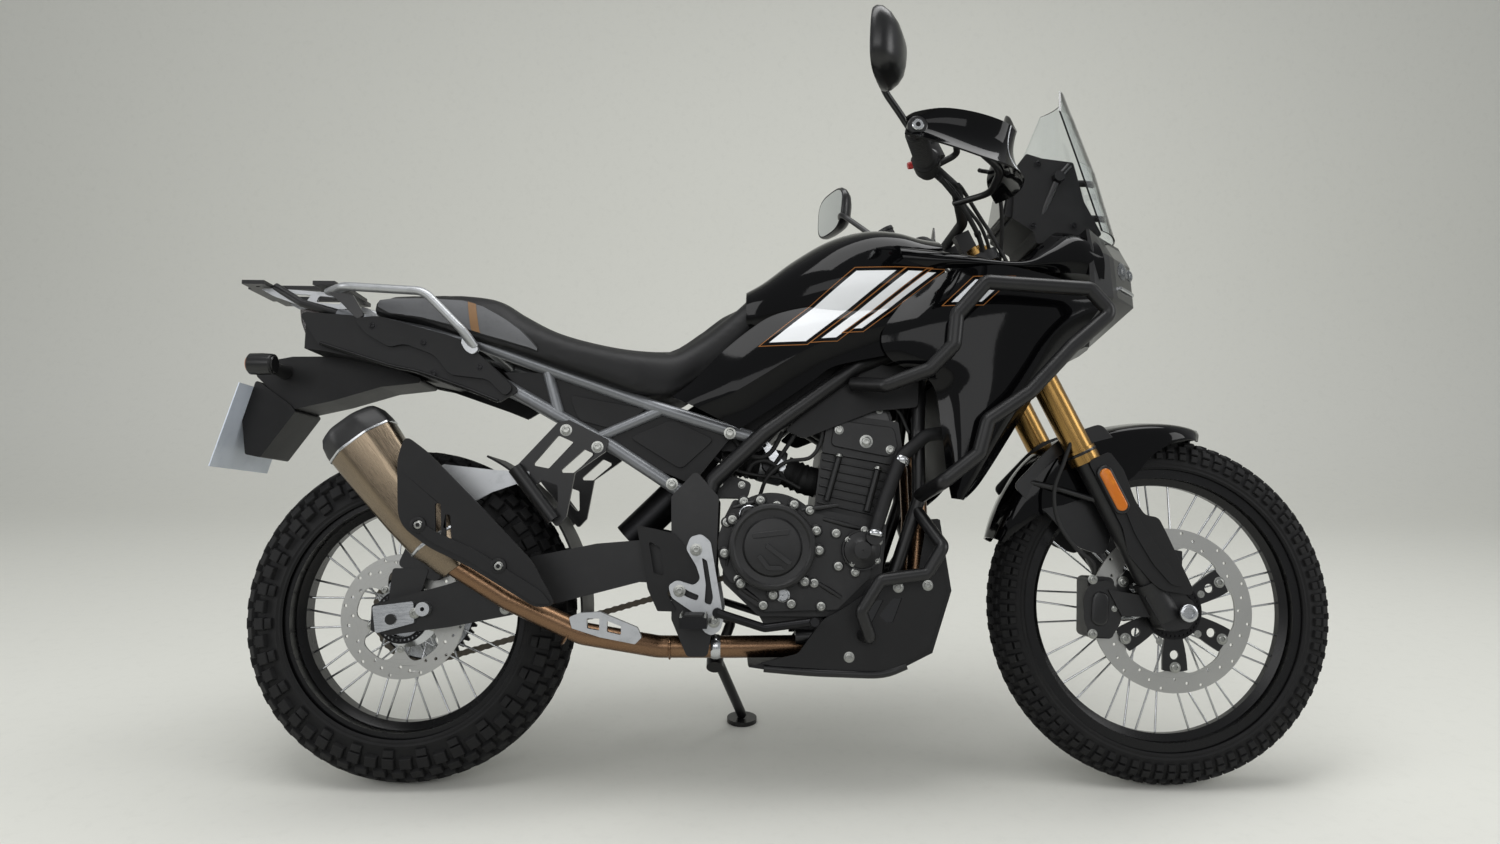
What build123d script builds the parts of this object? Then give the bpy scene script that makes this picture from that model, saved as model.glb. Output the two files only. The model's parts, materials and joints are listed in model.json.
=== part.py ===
"""Adventure motorcycle with knobbly tyres, crash bars and a rear rack, leaning on its side stand.

Every piece is set out on the upright machine: x forward from the rear axle, y to the left, z up from the
ground, in millimetres.  leaned() then tips the whole machine onto its side stand.
Front pieces are set out from the steering head, and what turns with the handlebar is built on STEER, whose
x is ahead of the steering axis, y to the left and z up along it.
"""
from build123d import *
from math import asin, atan2, cos, degrees, hypot, pi, radians, sin
import os

# ---------------------------------------------------------------- driving dimensions
WHEELBASE = 1505.0
LEAN = 12.0                    # degrees to the left, on the side stand
RAKE = 26.0                    # degrees the steering axis lies back from upright
CLAMP_OFFSET = 35.0            # fork legs ahead of the steering axis
AXLE_LEAD = 30.0               # front axle ahead of the fork legs
STEER_LOCK = 38.0              # degrees each way

FRONT_TYRE_R = 347.5
FRONT_TYRE_WIDTH = 90.0
FRONT_SEAT_R = 267.0           # bead seat of the rim
FRONT_RIM_HALF = 33.0
REAR_TYRE_R = 326.5
REAR_TYRE_WIDTH = 140.0
REAR_SEAT_R = 229.0
REAR_RIM_HALF = 56.0
FLANGE_HEIGHT = 13.0
FLANGE_WALL = 4.0
RIM_WALL = 5.0
WELL_DEPTH = 14.0
FRONT_LUGS = 80
REAR_LUGS = 52
FRONT_GROOVE = (10.0, 31.0)    # width along the tread, and degrees each side of the shoulder
REAR_GROOVE = (13.0, 28.0)
SHOULDER_TURN = 52.0           # degrees across the crown to the middle of the shoulder
GROOVE_REACH = 20.0

AXLE_R = 10.0
RUNNING_GAP = 0.05             # a shaft in its bearing
FIT_GAP = 0.1                  # a clamped or seated joint
STEP_GAP = 0.3                 # between faces that pass each other

FRONT_DISC_R = 160.0
REAR_DISC_R = 120.0
DISC_Y = -66.0
DISC_WALL = 5.0
FRONT_SPOKES = 36
REAR_SPOKES = 36
SPOKE_R = 2.0

FORK_Y = 105.0                 # fork legs each side of the middle
FORK_TUBE_R = 27.0
STANCHION_R = 21.5
FORK_TUBE_FOOT = 335.0         # all along the steering axis, up from the axle
LOWER_CLAMP = 555.0
UPPER_CLAMP = 773.0
CLAMP_WALL = 28.0
STEM_R = 15.0
HEAD_TUBE_R = 29.0

PIVOT = (560.0, 420.0)         # swingarm pivot, x and z
PIVOT_R = 12.0
CHAIN_Y = 84.0
CHAIN_PITCH = 15.875
REAR_TEETH = 42
FRONT_TEETH = 14
SPROCKET = (640.0, 440.0)      # gearbox sprocket, x and z
CHAIN_HALF_HEIGHT = 7.5
CHAIN_WIDTH = 16.0

FRAME_TUBE_R = 16.0
SUBFRAME_TUBE_R = 12.5
CRASH_TUBE_R = 14.0
BAR_TUBE_R = 11.0
GRIP_R = 17.0

RACK_SIZE = (200.0, 190.0, 8.0)
RACK_HOLE_R = 4.25
SPOOL_HOLE_R = 4.0

STAND_PIVOT = (604.0, 140.0, 231.0)
STAND_FOOT = (664.0, 305.0)    # on the ground, x and y from the tyres' line
STAND_SWING = 102.0            # degrees from down to folded
STAND_PIN_R = 6.0
STAND_FOOT_WALL = 10.0
STAND_LEG_R = 11.0


# ---------------------------------------------------------------- where the groups lie
REAR_AXLE = (0.0, REAR_TYRE_R)
FRONT_AXLE = (WHEELBASE, FRONT_TYRE_R)
BACK = (cos(radians(RAKE)), sin(radians(RAKE)))
UP = (-sin(radians(RAKE)), cos(radians(RAKE)))
TRAIL_OFFSET = CLAMP_OFFSET + AXLE_LEAD
STEER_FOOT = (FRONT_AXLE[0] - TRAIL_OFFSET * BACK[0], FRONT_AXLE[1] - TRAIL_OFFSET * BACK[1])
STEER = Plane(
    origin=(STEER_FOOT[0], 0, STEER_FOOT[1]),
    x_dir=(BACK[0], 0, BACK[1]),
    z_dir=(UP[0], 0, UP[1]),
)
HEAD_MIDDLE = 680.0            # up the steering axis
HEAD = (STEER_FOOT[0] + HEAD_MIDDLE * UP[0], STEER_FOOT[1] + HEAD_MIDDLE * UP[1])
TREAD_DROP = 1 - cos(radians(LEAN))
PITCH = degrees(asin((REAR_TYRE_WIDTH - FRONT_TYRE_WIDTH) / 2 * TREAD_DROP / WHEELBASE))
LEANED = Location((0, 0, REAR_TYRE_WIDTH / 2 * TREAD_DROP)) * Rot(0, PITCH, 0) * Rot(-LEAN, 0, 0)


BASE_WHEELBASE = 1505.0        # the wheelbase at which chassis points below are given


def front(x):
    """A chassis x at this wheelbase: ahead of the swingarm pivot it moves with the steering head."""
    growth = WHEELBASE - BASE_WHEELBASE
    share = (x - PIVOT[0]) / (HEAD[0] - growth - PIVOT[0])
    return x + growth * min(max(share, 0.0), 1.0)


def stretched(points):
    """Points whose first number is a chassis x, moved with the wheelbase."""
    return [(front(x), *rest) for x, *rest in points]


# ---------------------------------------------------------------- shape helpers
def both(piece):
    """A piece and its mirror on the other side."""
    return piece + mirror(piece, about=Plane.XZ)


def plate(outline, y_low, y_high, corner=0.0):
    """A side-view outline of (x, z) points made solid from y_low to y_high."""
    face = make_face(Polyline(*outline, close=True))
    if corner:
        face = fillet(face.vertices(), corner)
    return extrude(Plane.XZ.offset(-y_high) * face, y_high - y_low)


def panel(outline, y_inner, y_outer, shrink):
    """A bevelled panel: its outer face is the outline shrunk about its middle."""
    mid_x = sum(x for x, _ in outline) / len(outline)
    mid_z = sum(z for _, z in outline) / len(outline)
    outer = [(mid_x + (x - mid_x) * shrink, mid_z + (z - mid_z) * shrink) for x, z in outline]
    sections = [
        Plane.XZ.offset(-y) * make_face(Polyline(*points, close=True))
        for y, points in ((y_inner, outline), (y_outer, outer))
    ]
    return loft(sections, ruled=True)


def from_head(outline):
    """Side-view points given from the middle of the steering head."""
    return [(HEAD[0] + x, HEAD[1] + z) for x, z in outline]


def tube(points, radius, bend=40.0):
    """A round tube along straight runs joined by arcs."""
    path = Line(*points) if len(points) == 2 else FilletPolyline(*points, radius=bend)
    section = Plane(origin=path @ 0, z_dir=path % 0) * Circle(radius)
    return sweep(section, path=path)


def post(point, radius, y_low, y_high):
    """A round bar across the machine at a side-view point."""
    bar = Cylinder(radius, y_high - y_low, rotation=(90, 0, 0))
    return Pos(point[0], (y_low + y_high) / 2, point[1]) * bar


def ring(point, outer, inner, y_low, y_high):
    """A round bar across the machine with a hole through it."""
    return post(point, outer, y_low, y_high) - post(point, inner, y_low - 1, y_high + 1)


def turned(profile):
    """A profile of (y, radius) points turned about the axle line."""
    points = [(radius, y) for y, radius in profile]
    return revolve(make_face(Polyline(*points, close=True)), axis=Axis.Y)


def station(x, half):
    """A cross-section at x from the (half width, z) points of one side, bottom to top."""
    right = [(-width, z) for width, z in half]
    left = [(width, z) for width, z in reversed(half)]
    return Plane.YZ.offset(x) * make_face(Polyline(*(right + left), close=True))


def block(low, high):
    """A box between two corners."""
    size = [b - a for a, b in zip(low, high)]
    middle = [(a + b) / 2 for a, b in zip(low, high)]
    return Pos(*middle) * Box(*size)


# ---------------------------------------------------------------- wheels
def drum(sides, rings):
    """A straight-sided drum round the axle through rings of (distance to its flats, y)."""
    return loft([Plane.XZ.offset(-y) * RegularPolygon(reach, sides, major_radius=False) for reach, y in rings],
                ruled=True)


CROWN_TURNS = (12, 50, 90)     # degrees across the crown at which its flats meet
BEAD_SIDES = 36
SIDEWALL_LIP = 3.0


def tyre(outer, width, seat, rim_half, lugs, groove):
    """A tyre with flats one lug long, and grooves across both shoulders between the lugs.
    groove is its width along the tread and the degrees it spreads each side of the shoulder."""
    crown = width / 2
    bead = rim_half - FLANGE_WALL - STEP_GAP
    centre = outer - crown
    flange = seat + FLANGE_HEIGHT + STEP_GAP
    turns = [radians(-turn) for turn in reversed(CROWN_TURNS)] + [radians(turn) for turn in CROWN_TURNS]
    body = drum(lugs, [(centre + crown * cos(turn), crown * sin(turn)) for turn in turns])
    inside = drum(BEAD_SIDES, [(seat + FIT_GAP, -width), (seat + FIT_GAP, width)])
    wall = [(flange, bead), (centre - SIDEWALL_LIP, crown)]
    inside += drum(BEAD_SIDES, wall) + drum(BEAD_SIDES, [(reach, -y) for reach, y in reversed(wall)])
    length, spread = groove
    shoulder = Pos(centre, 0, 0) * Rot(0, 0, SHOULDER_TURN)
    depth = GROOVE_REACH / 2
    cut = shoulder * Pos(crown * cos(radians(spread)) + depth, 0, 0) * Box(2 * depth, 2 * crown, length)
    step = 360 / lugs
    grooves = []
    for number in range(lugs):
        turn = Rot(0, step * (number + 0.5), 0)
        grooves += [turn * cut, turn * cut.mirror(Plane.XZ)]
    return body - inside - grooves


def rim(seat, half):
    """A rim with two flanges and a well between them."""
    floor = seat - WELL_DEPTH
    slope = half * 0.45
    top = seat + FLANGE_HEIGHT
    return turned([
        (-half, top), (-half + FLANGE_WALL, top), (-half + FLANGE_WALL, seat), (-slope, seat),
        (-slope / 2, floor), (slope / 2, floor), (slope, seat), (half - FLANGE_WALL, seat),
        (half - FLANGE_WALL, top), (half, top), (half, seat - RIM_WALL), (slope, seat - RIM_WALL),
        (slope / 2, floor - RIM_WALL), (-slope / 2, floor - RIM_WALL), (-slope, seat - RIM_WALL),
        (-half, seat - RIM_WALL),
    ])


def spokes(count, flange_r, flange_y, seat):
    """Crossed spokes from the two hub flanges to the rim's well."""
    reach = seat - WELL_DEPTH - RIM_WALL - 2 * STEP_GAP
    step = 360 / count
    result = []
    for number in range(count):
        side = 1 if number % 2 else -1
        lead = (60 if number % 4 < 2 else -60) / flange_r * 35
        foot = radians(number * step - lead / 2)
        tip = radians(number * step + lead * 0.05)
        start = (flange_r * cos(foot), side * flange_y, flange_r * sin(foot))
        end = (reach * cos(tip), side * 4.0, reach * sin(tip))
        result.append(tube([start, end], SPOKE_R))
    return result


def front_tyre():
    return Pos(FRONT_AXLE[0], 0, FRONT_AXLE[1]) * tyre(
        FRONT_TYRE_R, FRONT_TYRE_WIDTH, FRONT_SEAT_R, FRONT_RIM_HALF, FRONT_LUGS, FRONT_GROOVE)


def front_rim():
    return Pos(FRONT_AXLE[0], 0, FRONT_AXLE[1]) * rim(FRONT_SEAT_R, FRONT_RIM_HALF)


FRONT_HUB_HALF = 60.0
FRONT_FLANGE = (40.0, 32.0)    # radius, y
HUB_BARREL_R = 26.0
HUB_WALL = 6.0


def front_hub():
    """A hub turned with two spoke flanges and a seat for the disc, with its spokes."""
    radius, y = FRONT_FLANGE
    bore = AXLE_R + RUNNING_GAP
    seat = DISC_Y + DISC_WALL / 2
    hub = turned([
        (seat, bore), (seat, radius + 8), (seat + HUB_WALL, radius + 8), (-y - HUB_WALL, HUB_BARREL_R),
        (-y, radius + 4), (-y + HUB_WALL, radius + 4), (-y + 2 * HUB_WALL, HUB_BARREL_R),
        (y - 2 * HUB_WALL, HUB_BARREL_R), (y - HUB_WALL, radius + 4), (y, radius + 4),
        (y + HUB_WALL, HUB_BARREL_R), (FRONT_HUB_HALF, HUB_BARREL_R - 6), (FRONT_HUB_HALF, bore),
    ])
    wires = spokes(FRONT_SPOKES, radius, y - HUB_WALL / 2, FRONT_SEAT_R)
    return Pos(FRONT_AXLE[0], 0, FRONT_AXLE[1]) * (hub + wires)


def disc(radius, band, boss_r, bore_r):
    """A brake disc on its carrier, with windows between the carrier's arms."""
    y_low = DISC_Y - DISC_WALL / 2
    y_high = DISC_Y + DISC_WALL / 2
    sheet = ring((0, 0), radius, bore_r, y_low, y_high)
    middle = (radius - band + boss_r) / 2
    window = (radius - band - boss_r) / 2 - 5
    for arm in range(6):
        turn = radians(60 * arm)
        sheet -= post((middle * cos(turn), middle * sin(turn)), window, y_low - 1, y_high + 1)
    return sheet


def front_disc():
    return Pos(FRONT_AXLE[0], 0, FRONT_AXLE[1]) * disc(FRONT_DISC_R, 36.0, 44.0, AXLE_R * 2.4)


def rear_tyre():
    return Pos(REAR_AXLE[0], 0, REAR_AXLE[1]) * tyre(
        REAR_TYRE_R, REAR_TYRE_WIDTH, REAR_SEAT_R, REAR_RIM_HALF, REAR_LUGS, REAR_GROOVE)


def rear_rim():
    return Pos(REAR_AXLE[0], 0, REAR_AXLE[1]) * rim(REAR_SEAT_R, REAR_RIM_HALF)


REAR_FLANGE = (58.0, 36.0)     # radius, y
REAR_HUB_R = 36.0


def pitch_radius(teeth):
    """Radius of a chain sprocket's pitch circle."""
    return CHAIN_PITCH / (2 * sin(pi / teeth))


def rear_hub():
    """A hub with spoke flanges, disc seat and spokes, and the sprocket on its left."""
    radius, y = REAR_FLANGE
    bore = AXLE_R + RUNNING_GAP
    seat = DISC_Y + DISC_WALL / 2
    sprocket_r = pitch_radius(REAR_TEETH) - CHAIN_HALF_HEIGHT - 1
    inner = CHAIN_Y - 4
    outer = CHAIN_Y + 4
    hub = turned([
        (seat, bore), (seat, REAR_HUB_R + 14), (seat + HUB_WALL, REAR_HUB_R + 14),
        (-y - HUB_WALL, REAR_HUB_R), (-y, radius + 4), (-y + HUB_WALL, radius + 4),
        (-y + 2 * HUB_WALL, REAR_HUB_R), (y - 2 * HUB_WALL, REAR_HUB_R), (y - HUB_WALL, radius + 4),
        (y, radius + 4), (y + HUB_WALL, REAR_HUB_R + 16), (inner, REAR_HUB_R + 16),
        (inner, sprocket_r), (outer, sprocket_r), (outer, REAR_HUB_R), (outer, bore),
    ])
    for arm in range(6):
        turn = radians(60 * arm)
        spot = (68 * cos(turn), 68 * sin(turn))
        hub -= post(spot, 14, inner - 1, outer + 1)
    wires = spokes(REAR_SPOKES, radius, y - HUB_WALL / 2, REAR_SEAT_R)
    return Pos(REAR_AXLE[0], 0, REAR_AXLE[1]) * (hub + wires)


def rear_disc():
    return Pos(REAR_AXLE[0], 0, REAR_AXLE[1]) * disc(REAR_DISC_R, 32.0, 46.0, AXLE_R * 2.4)


# ---------------------------------------------------------------- steered pieces
def triple_clamps():
    """Upper and lower fork clamps with the stem and the handlebar risers."""
    result = []
    for low, wall, nose in ((LOWER_CLAMP, CLAMP_WALL, 14.0), (UPPER_CLAMP, CLAMP_WALL * 0.8, 10.0)):
        web = block((-26, -FORK_Y, low), (CLAMP_OFFSET + nose, FORK_Y, low + wall))
        web += Pos(0, 0, low + wall / 2) * Cylinder(FORK_TUBE_R + 6, wall)
        for side in (-1, 1):
            web += Pos(CLAMP_OFFSET, side * FORK_Y, low + wall / 2) * Cylinder(FORK_TUBE_R + 9, wall)
        for side in (-1, 1):
            web -= Pos(CLAMP_OFFSET, side * FORK_Y, low + wall / 2) * Cylinder(FORK_TUBE_R + FIT_GAP, wall + 2)
        result.append(web)
    stem_low = LOWER_CLAMP + 1
    stem_high = UPPER_CLAMP + CLAMP_WALL * 0.8 + 8
    stem = Pos(0, 0, (stem_low + stem_high) / 2) * Cylinder(STEM_R, stem_high - stem_low)
    risers = [
        block((RISER_AT[0] - 16, side * 50 - 12, UPPER_CLAMP + CLAMP_WALL * 0.8 - 1),
              (RISER_AT[0] + 16, side * 50 + 12, RISER_AT[1] - BAR_TUBE_R - FIT_GAP))
        for side in (-1, 1)
    ]
    clamps = result[0] + result[1] + stem
    for riser in risers:
        clamps += riser
    return STEER.location * clamps


RISER_AT = (40.0, 872.0)       # handlebar centre: ahead of and up the steering axis
BAR_ROUTE = [                  # half of the bar: ahead, out, up
    (40, 0, 872), (40, 95, 872), (34, 165, 925), (-45, 300, 965), (-82, 425, 985),
]


def bar_half():
    """Left half of the handlebar tube."""
    return tube([(a, o, u) for a, o, u in BAR_ROUTE], BAR_TUBE_R, 45)


GRIP_FROM = 0.12


def bar_controls():
    """Left half of the bar with its grip, switch block and lever."""
    start = BAR_ROUTE[-2]
    end = BAR_ROUTE[-1]

    def along(share, ahead=0.0, up=0.0):
        return tuple(a + (b - a) * share + extra for a, b, extra in zip(start, end, (ahead, 0.0, up)))

    grip = tube([along(0.05), along(1.0)], GRIP_R)
    switch = tube([along(-0.22), along(0.03)], GRIP_R + 6)
    perch = tube([along(-0.34), along(-0.24)], GRIP_R + 2)
    lever = tube([along(-0.30, 10), along(-0.25, 62), along(0.2, 66), along(0.95, 58)], 6.0, 12)
    reservoir = tube([along(-0.36, 22, 12), along(-0.36, 22, 44)], 19.0)
    return bar_half() + grip + switch + perch + lever + reservoir


def handlebar():
    """The bar with its grips, switch blocks and levers."""
    return STEER.location * both(bar_controls())


def handguards():
    """A shield in front of each grip, held by a strut along the bar's end."""
    tip = BAR_ROUTE[-1]
    root = (50, 235, 940)
    spine = [
        (tip[0] - 2, tip[1] + 14, tip[2]), (tip[0] + 60, tip[1] + 18, tip[2] + 2),
        (92, 345, 975), (root[0] + 26, root[1] + 20, root[2] + 8), root,
    ]
    strut = tube(spine, 6.5, 22)
    strut += tube([(tip[0] - 2, tip[1] + 4, tip[2]), (tip[0] - 2, tip[1] + 22, tip[2])], 12)
    sections = []
    for ahead, out, low, high in ((tip[0] + 50, tip[1] + 26, -40, 34), (95, 352, -58, 52), (84, 262, -50, 36)):
        up = tip[2] - (tip[1] - out) * 0.13
        face = Polyline(
            (ahead - 6, up + low), (ahead + 2, up + low), (ahead + 9, up), (ahead - 2, up + high),
            (ahead - 8, up + high), (ahead, up), close=True)
        sections.append(Plane.XZ.offset(-out) * make_face(face))
    shield = loft(sections, ruled=True)
    return STEER.location * both(strut + shield)


MIRROR = (-88.0, 425.0, 1165.0)    # middle of the glass, ahead, out, up


def mirrors():
    """A mirror head on a bent stalk each side."""
    stalk = tube([(-30, 270, 962), (-34, 300, 1040), (-70, 345, 1120), (MIRROR[0], MIRROR[1], MIRROR[2])],
                 6.0, 20)
    head = loft([
        Pos(0, 0, 0) * Plane.YZ.offset(-14) * RectangleRounded(128, 96, 30),
        Plane.YZ.offset(14) * RectangleRounded(88, 62, 24),
    ])
    placed = Pos(*MIRROR) * Rot(0, -24, 0) * head
    return STEER.location * (both(stalk + placed) - both(bar_controls()))


def fork_tubes():
    """Outer fork tubes, clamped at the top, with their top caps."""
    top = UPPER_CLAMP + CLAMP_WALL * 0.8 + 10
    leg = Pos(CLAMP_OFFSET, FORK_Y, (FORK_TUBE_FOOT + top) / 2) * Cylinder(
        FORK_TUBE_R, top - FORK_TUBE_FOOT)
    leg += Pos(CLAMP_OFFSET, FORK_Y, FORK_TUBE_FOOT + 14) * Cylinder(FORK_TUBE_R + 3, 28)
    leg += Pos(CLAMP_OFFSET, FORK_Y, top + 4) * Cylinder(FORK_TUBE_R - 8, 8)
    return STEER.location * both(leg)


LUG_R = 29.0
LUG_TOP = 78.0


def fork_lowers():
    """Stanchions and axle lugs, joined by the front axle."""
    lug = Pos(CLAMP_OFFSET, FORK_Y, LUG_TOP / 2) * Cylinder(LUG_R, LUG_TOP)
    lug += plate([(CLAMP_OFFSET - 26, 62), (CLAMP_OFFSET - 22, -14), (TRAIL_OFFSET - 8, -30),
                  (TRAIL_OFFSET + 22, -18), (TRAIL_OFFSET + 24, 12), (CLAMP_OFFSET + 26, 62)],
                 FORK_Y - 26, FORK_Y + 20, 8)
    stanchion = Pos(CLAMP_OFFSET, FORK_Y, (FORK_TUBE_FOOT + LUG_TOP) / 2) * Cylinder(
        STANCHION_R, FORK_TUBE_FOOT - LUG_TOP)
    legs = both(lug + stanchion)
    axle = post((TRAIL_OFFSET, 0), AXLE_R, -FORK_Y - 26, FORK_Y + 26)
    for side in (-1, 1):
        inner = FRONT_HUB_HALF + STEP_GAP if side > 0 else -DISC_Y + DISC_WALL / 2 + STEP_GAP
        spacer = post((TRAIL_OFFSET, 0), AXLE_R + 7, inner, FORK_Y - 24)
        legs += spacer if side > 0 else mirror(spacer, about=Plane.XZ)
    ear = plate([(CLAMP_OFFSET - 20, 58), (CALIPER[0] + 26, CALIPER[1] + 26),
                 (CALIPER[0] + 26, CALIPER[1] - 30), (CLAMP_OFFSET - 16, 10)], -FORK_Y - 4, -FORK_Y + 8)
    return STEER.location * (legs + axle + ear)


CALIPER = (-68.0, 72.0)        # middle of the front caliper, ahead and up the steering axis
PAD_GAP = 3.0


def caliper(length, depth, y_low, y_high):
    """A caliper block with a slot for its disc."""
    body = Box(depth, y_high - y_low, length)
    body = fillet(body.edges().filter_by(Axis.Y), depth * 0.22)
    slot = Pos(0, DISC_Y - (y_low + y_high) / 2, 0) * Box(
        depth + 2, DISC_WALL + 2 * PAD_GAP, length * 2)
    keep = Pos(-depth / 2 + 6, 0, 0) * Box(12, y_high - y_low, length)
    return Pos(0, (y_low + y_high) / 2, 0) * (body - (slot - keep))


def front_brake():
    """Front caliper, behind the right leg, and its hose up the leg."""
    tilt = degrees(atan2(CALIPER[1], TRAIL_OFFSET - CALIPER[0]))
    body = Pos(CALIPER[0], 0, CALIPER[1]) * Rot(0, tilt, 0) * caliper(
        118, 52, -FORK_Y + 8 + FIT_GAP, -38)
    return STEER.location * body


def fork_guards():
    """Curved guards in front of the stanchions, seated on the axle lugs."""
    low = LUG_TOP - 15
    high = FORK_TUBE_FOOT - 4
    middle = (low + high) / 2
    shell = Pos(0, 0, middle) * (
        Cylinder(LUG_R + 5 + FIT_GAP, high - low) - Cylinder(LUG_R + FIT_GAP, high - low + 2))
    shell &= Rot(0, 0, 50) * Pos(40, 0, middle) * Box(60, 120, high - low + 2)
    return STEER.location * both(Pos(CLAMP_OFFSET, FORK_Y, 0) * shell)


FENDER_GAP = 18.0
FENDER_WALL = 4.0
FENDER_HALF = 74.0
FENDER_FROM = 72.0             # degrees round the front axle from straight ahead
FENDER_TO = 165.0


def front_fender():
    """A mudguard over the front tyre with side skirts, and brackets to the fork legs."""
    inner = FRONT_TYRE_R + FENDER_GAP
    outer = inner + FENDER_WALL
    skirt = 44.0
    section = Polyline(
        (inner - skirt, FENDER_HALF - 4), (inner - 8, FENDER_HALF - 4), (inner, FENDER_HALF - 16),
        (inner + 4, 0),
        (inner, -FENDER_HALF + 16), (inner - 8, -FENDER_HALF + 4), (inner - skirt, -FENDER_HALF + 4),
        (inner - skirt, -FENDER_HALF), (outer - 8, -FENDER_HALF), (outer, -FENDER_HALF + 14),
        (outer + 4, 0), (outer, FENDER_HALF - 14), (outer - 8, FENDER_HALF),
        (inner - skirt, FENDER_HALF), close=True)
    arc = revolve(make_face(section), axis=Axis.Y, revolution_arc=FENDER_TO - FENDER_FROM)
    arc = Pos(FRONT_AXLE[0], 0, FRONT_AXLE[1]) * Rot(0, -FENDER_TO, 0) * arc
    tip_cut = plate([
        (FRONT_AXLE[0] - 20, FRONT_AXLE[1] + 337), (FRONT_AXLE[0] + 190, FRONT_AXLE[1] + 348),
        (FRONT_AXLE[0] + 190, FRONT_AXLE[1]), (FRONT_AXLE[0] - 20, FRONT_AXLE[1] + 100)],
        -FENDER_HALF - 2, FENDER_HALF + 2)
    return arc - tip_cut + STEER.location * both(fender_bracket())


def fender_bracket():
    """The arm from the mudguard's skirt to the fork tube's foot."""
    inner = FENDER_HALF - 4
    arm = block((CLAMP_OFFSET - 30, inner, 296), (CLAMP_OFFSET + 30, FENDER_HALF, 356))
    collar = Pos(CLAMP_OFFSET, FORK_Y, 320) * (Cylinder(LUG_R, 20) - Cylinder(STANCHION_R + FIT_GAP, 22))
    link = block((CLAMP_OFFSET - 12, inner, 312), (CLAMP_OFFSET + 12, FORK_Y - STANCHION_R - 1, 328))
    return arm + (collar + link)


# ---------------------------------------------------------------- frame and engine
def spar_tube(radius):
    """Left spar, from the head down to the pivot plate."""
    return tube([
        (HEAD[0], 10, HEAD[1] + 10), (HEAD[0] - 90, 62, HEAD[1] - 42), (front(883), 122, 821),
        (front(700), 130, 686), (front(600), 130, 590), (PIVOT[0] + 10, 130, PIVOT[1] + 70)], radius, 30)


def main_frame():
    """Head tube, twin spars, down tubes, pivot plates and the side stand's bracket."""
    head_low = LOWER_CLAMP + CLAMP_WALL + STEP_GAP
    head_high = UPPER_CLAMP - STEP_GAP
    middle = (head_low + head_high) / 2
    head = STEER.location * (Pos(0, 0, middle) * Cylinder(HEAD_TUBE_R, head_high - head_low))
    spar = spar_tube(FRAME_TUBE_R)
    down = tube([
        (HEAD[0] + 2, 10, HEAD[1] - 56), (HEAD[0] - 138, 80, HEAD[1] - 126), (front(1000), 112, 690),
        (front(1000), 112, 560), (front(952), 112, 420), (880, 112, 300), (760, 112, 296)],
        FRAME_TUBE_R - 3, 30)
    pivot_plate = plate([
        (PIVOT[0] - 38, 560), (PIVOT[0] + 8, 610), (PIVOT[0] + 52, 560), (PIVOT[0] + 46, 330),
        (PIVOT[0] + 34, 262), (PIVOT[0] - 4, 262), (PIVOT[0] - 34, 330)], 128, PIVOT_PLATE_OUT, 10)
    sides = both(spar + down + pivot_plate)
    cross = post((front(883), 821), 12, -122, 122) + post((PIVOT[0] + 6, 585), 14, -130, 130)
    cross += post((PIVOT[0] + 22, 312), 11, -130, 130)
    stay = STEER.location * tube([(15, 0, HEAD_MIDDLE + 20), (230, 0, HEAD_MIDDLE + 20)], 11)
    stay -= block((HEAD[0] + NOSE_BACK - STEP_GAP, -50, HEAD[1]), (HEAD[0] + 400, 50, HEAD[1] + 300))
    frame = head + sides + cross + stay + post(PIVOT, PIVOT_R - RUNNING_GAP, -140, 140)
    bore = STEER.location * (Pos(0, 0, middle) * Cylinder(STEM_R + STEP_GAP, 400))
    return frame - bore + stand_bracket()


def stand_axis():
    """Direction of the side stand's pin, from the leg's down and folded directions."""
    down = stand_ankle() - Vector(*STAND_PIVOT)
    folded = Vector(-1, 0.04, -0.02)
    return down.cross(folded).normalized()


def stand_ankle():
    """Where the side stand's leg meets its foot."""
    return (LEANED.inverse() * Pos(STAND_FOOT[0], STAND_FOOT[1], STAND_FOOT_WALL * 1.5)).position


def stand_bracket():
    """Bracket on the left pivot plate with the side stand's pin."""
    axis = stand_axis()
    pin = Vector(*STAND_PIVOT)
    seat = Plane(origin=tuple(pin - axis * (STAND_LEG_R + STEP_GAP)), z_dir=tuple(axis))
    boss = seat.location * (Pos(0, 0, -11) * Cylinder(18, 22))
    reach = 2 * (STAND_LEG_R + STEP_GAP)
    shaft = seat.location * (Pos(0, 0, reach / 2) * Cylinder(STAND_PIN_R, reach + 2))
    arm = tube([(PIVOT[0] + 30, 136, 332), (PIVOT[0] + 78, 120, 304), tuple(pin - axis * 26)], 11, 10)
    arm -= seat.location * (Pos(0, 0, 20) * Cylinder(18 + STEP_GAP, 40))
    cap = seat.location * (Pos(0, 0, reach + 2.5) * Cylinder(10, 5))
    return boss + shaft + arm + cap


def side_stand():
    """The stand's boss, leg and foot: it lies along the line from its pin to its foot."""
    axis = stand_axis()
    pin = Vector(*STAND_PIVOT)
    boss = Plane(origin=tuple(pin), z_dir=tuple(axis)).location * Cylinder(17, 2 * STAND_LEG_R)
    leg = tube([tuple(pin), tuple(stand_ankle())], STAND_LEG_R)
    half = STAND_FOOT_WALL / 2
    foot = LEANED.inverse() * (Pos(STAND_FOOT[0], STAND_FOOT[1], half) * Cylinder(34, STAND_FOOT_WALL))
    bore = Plane(origin=tuple(pin), z_dir=tuple(axis)).location * Cylinder(
        STAND_PIN_R + RUNNING_GAP, 60)
    return boss + leg + foot - bore


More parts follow.
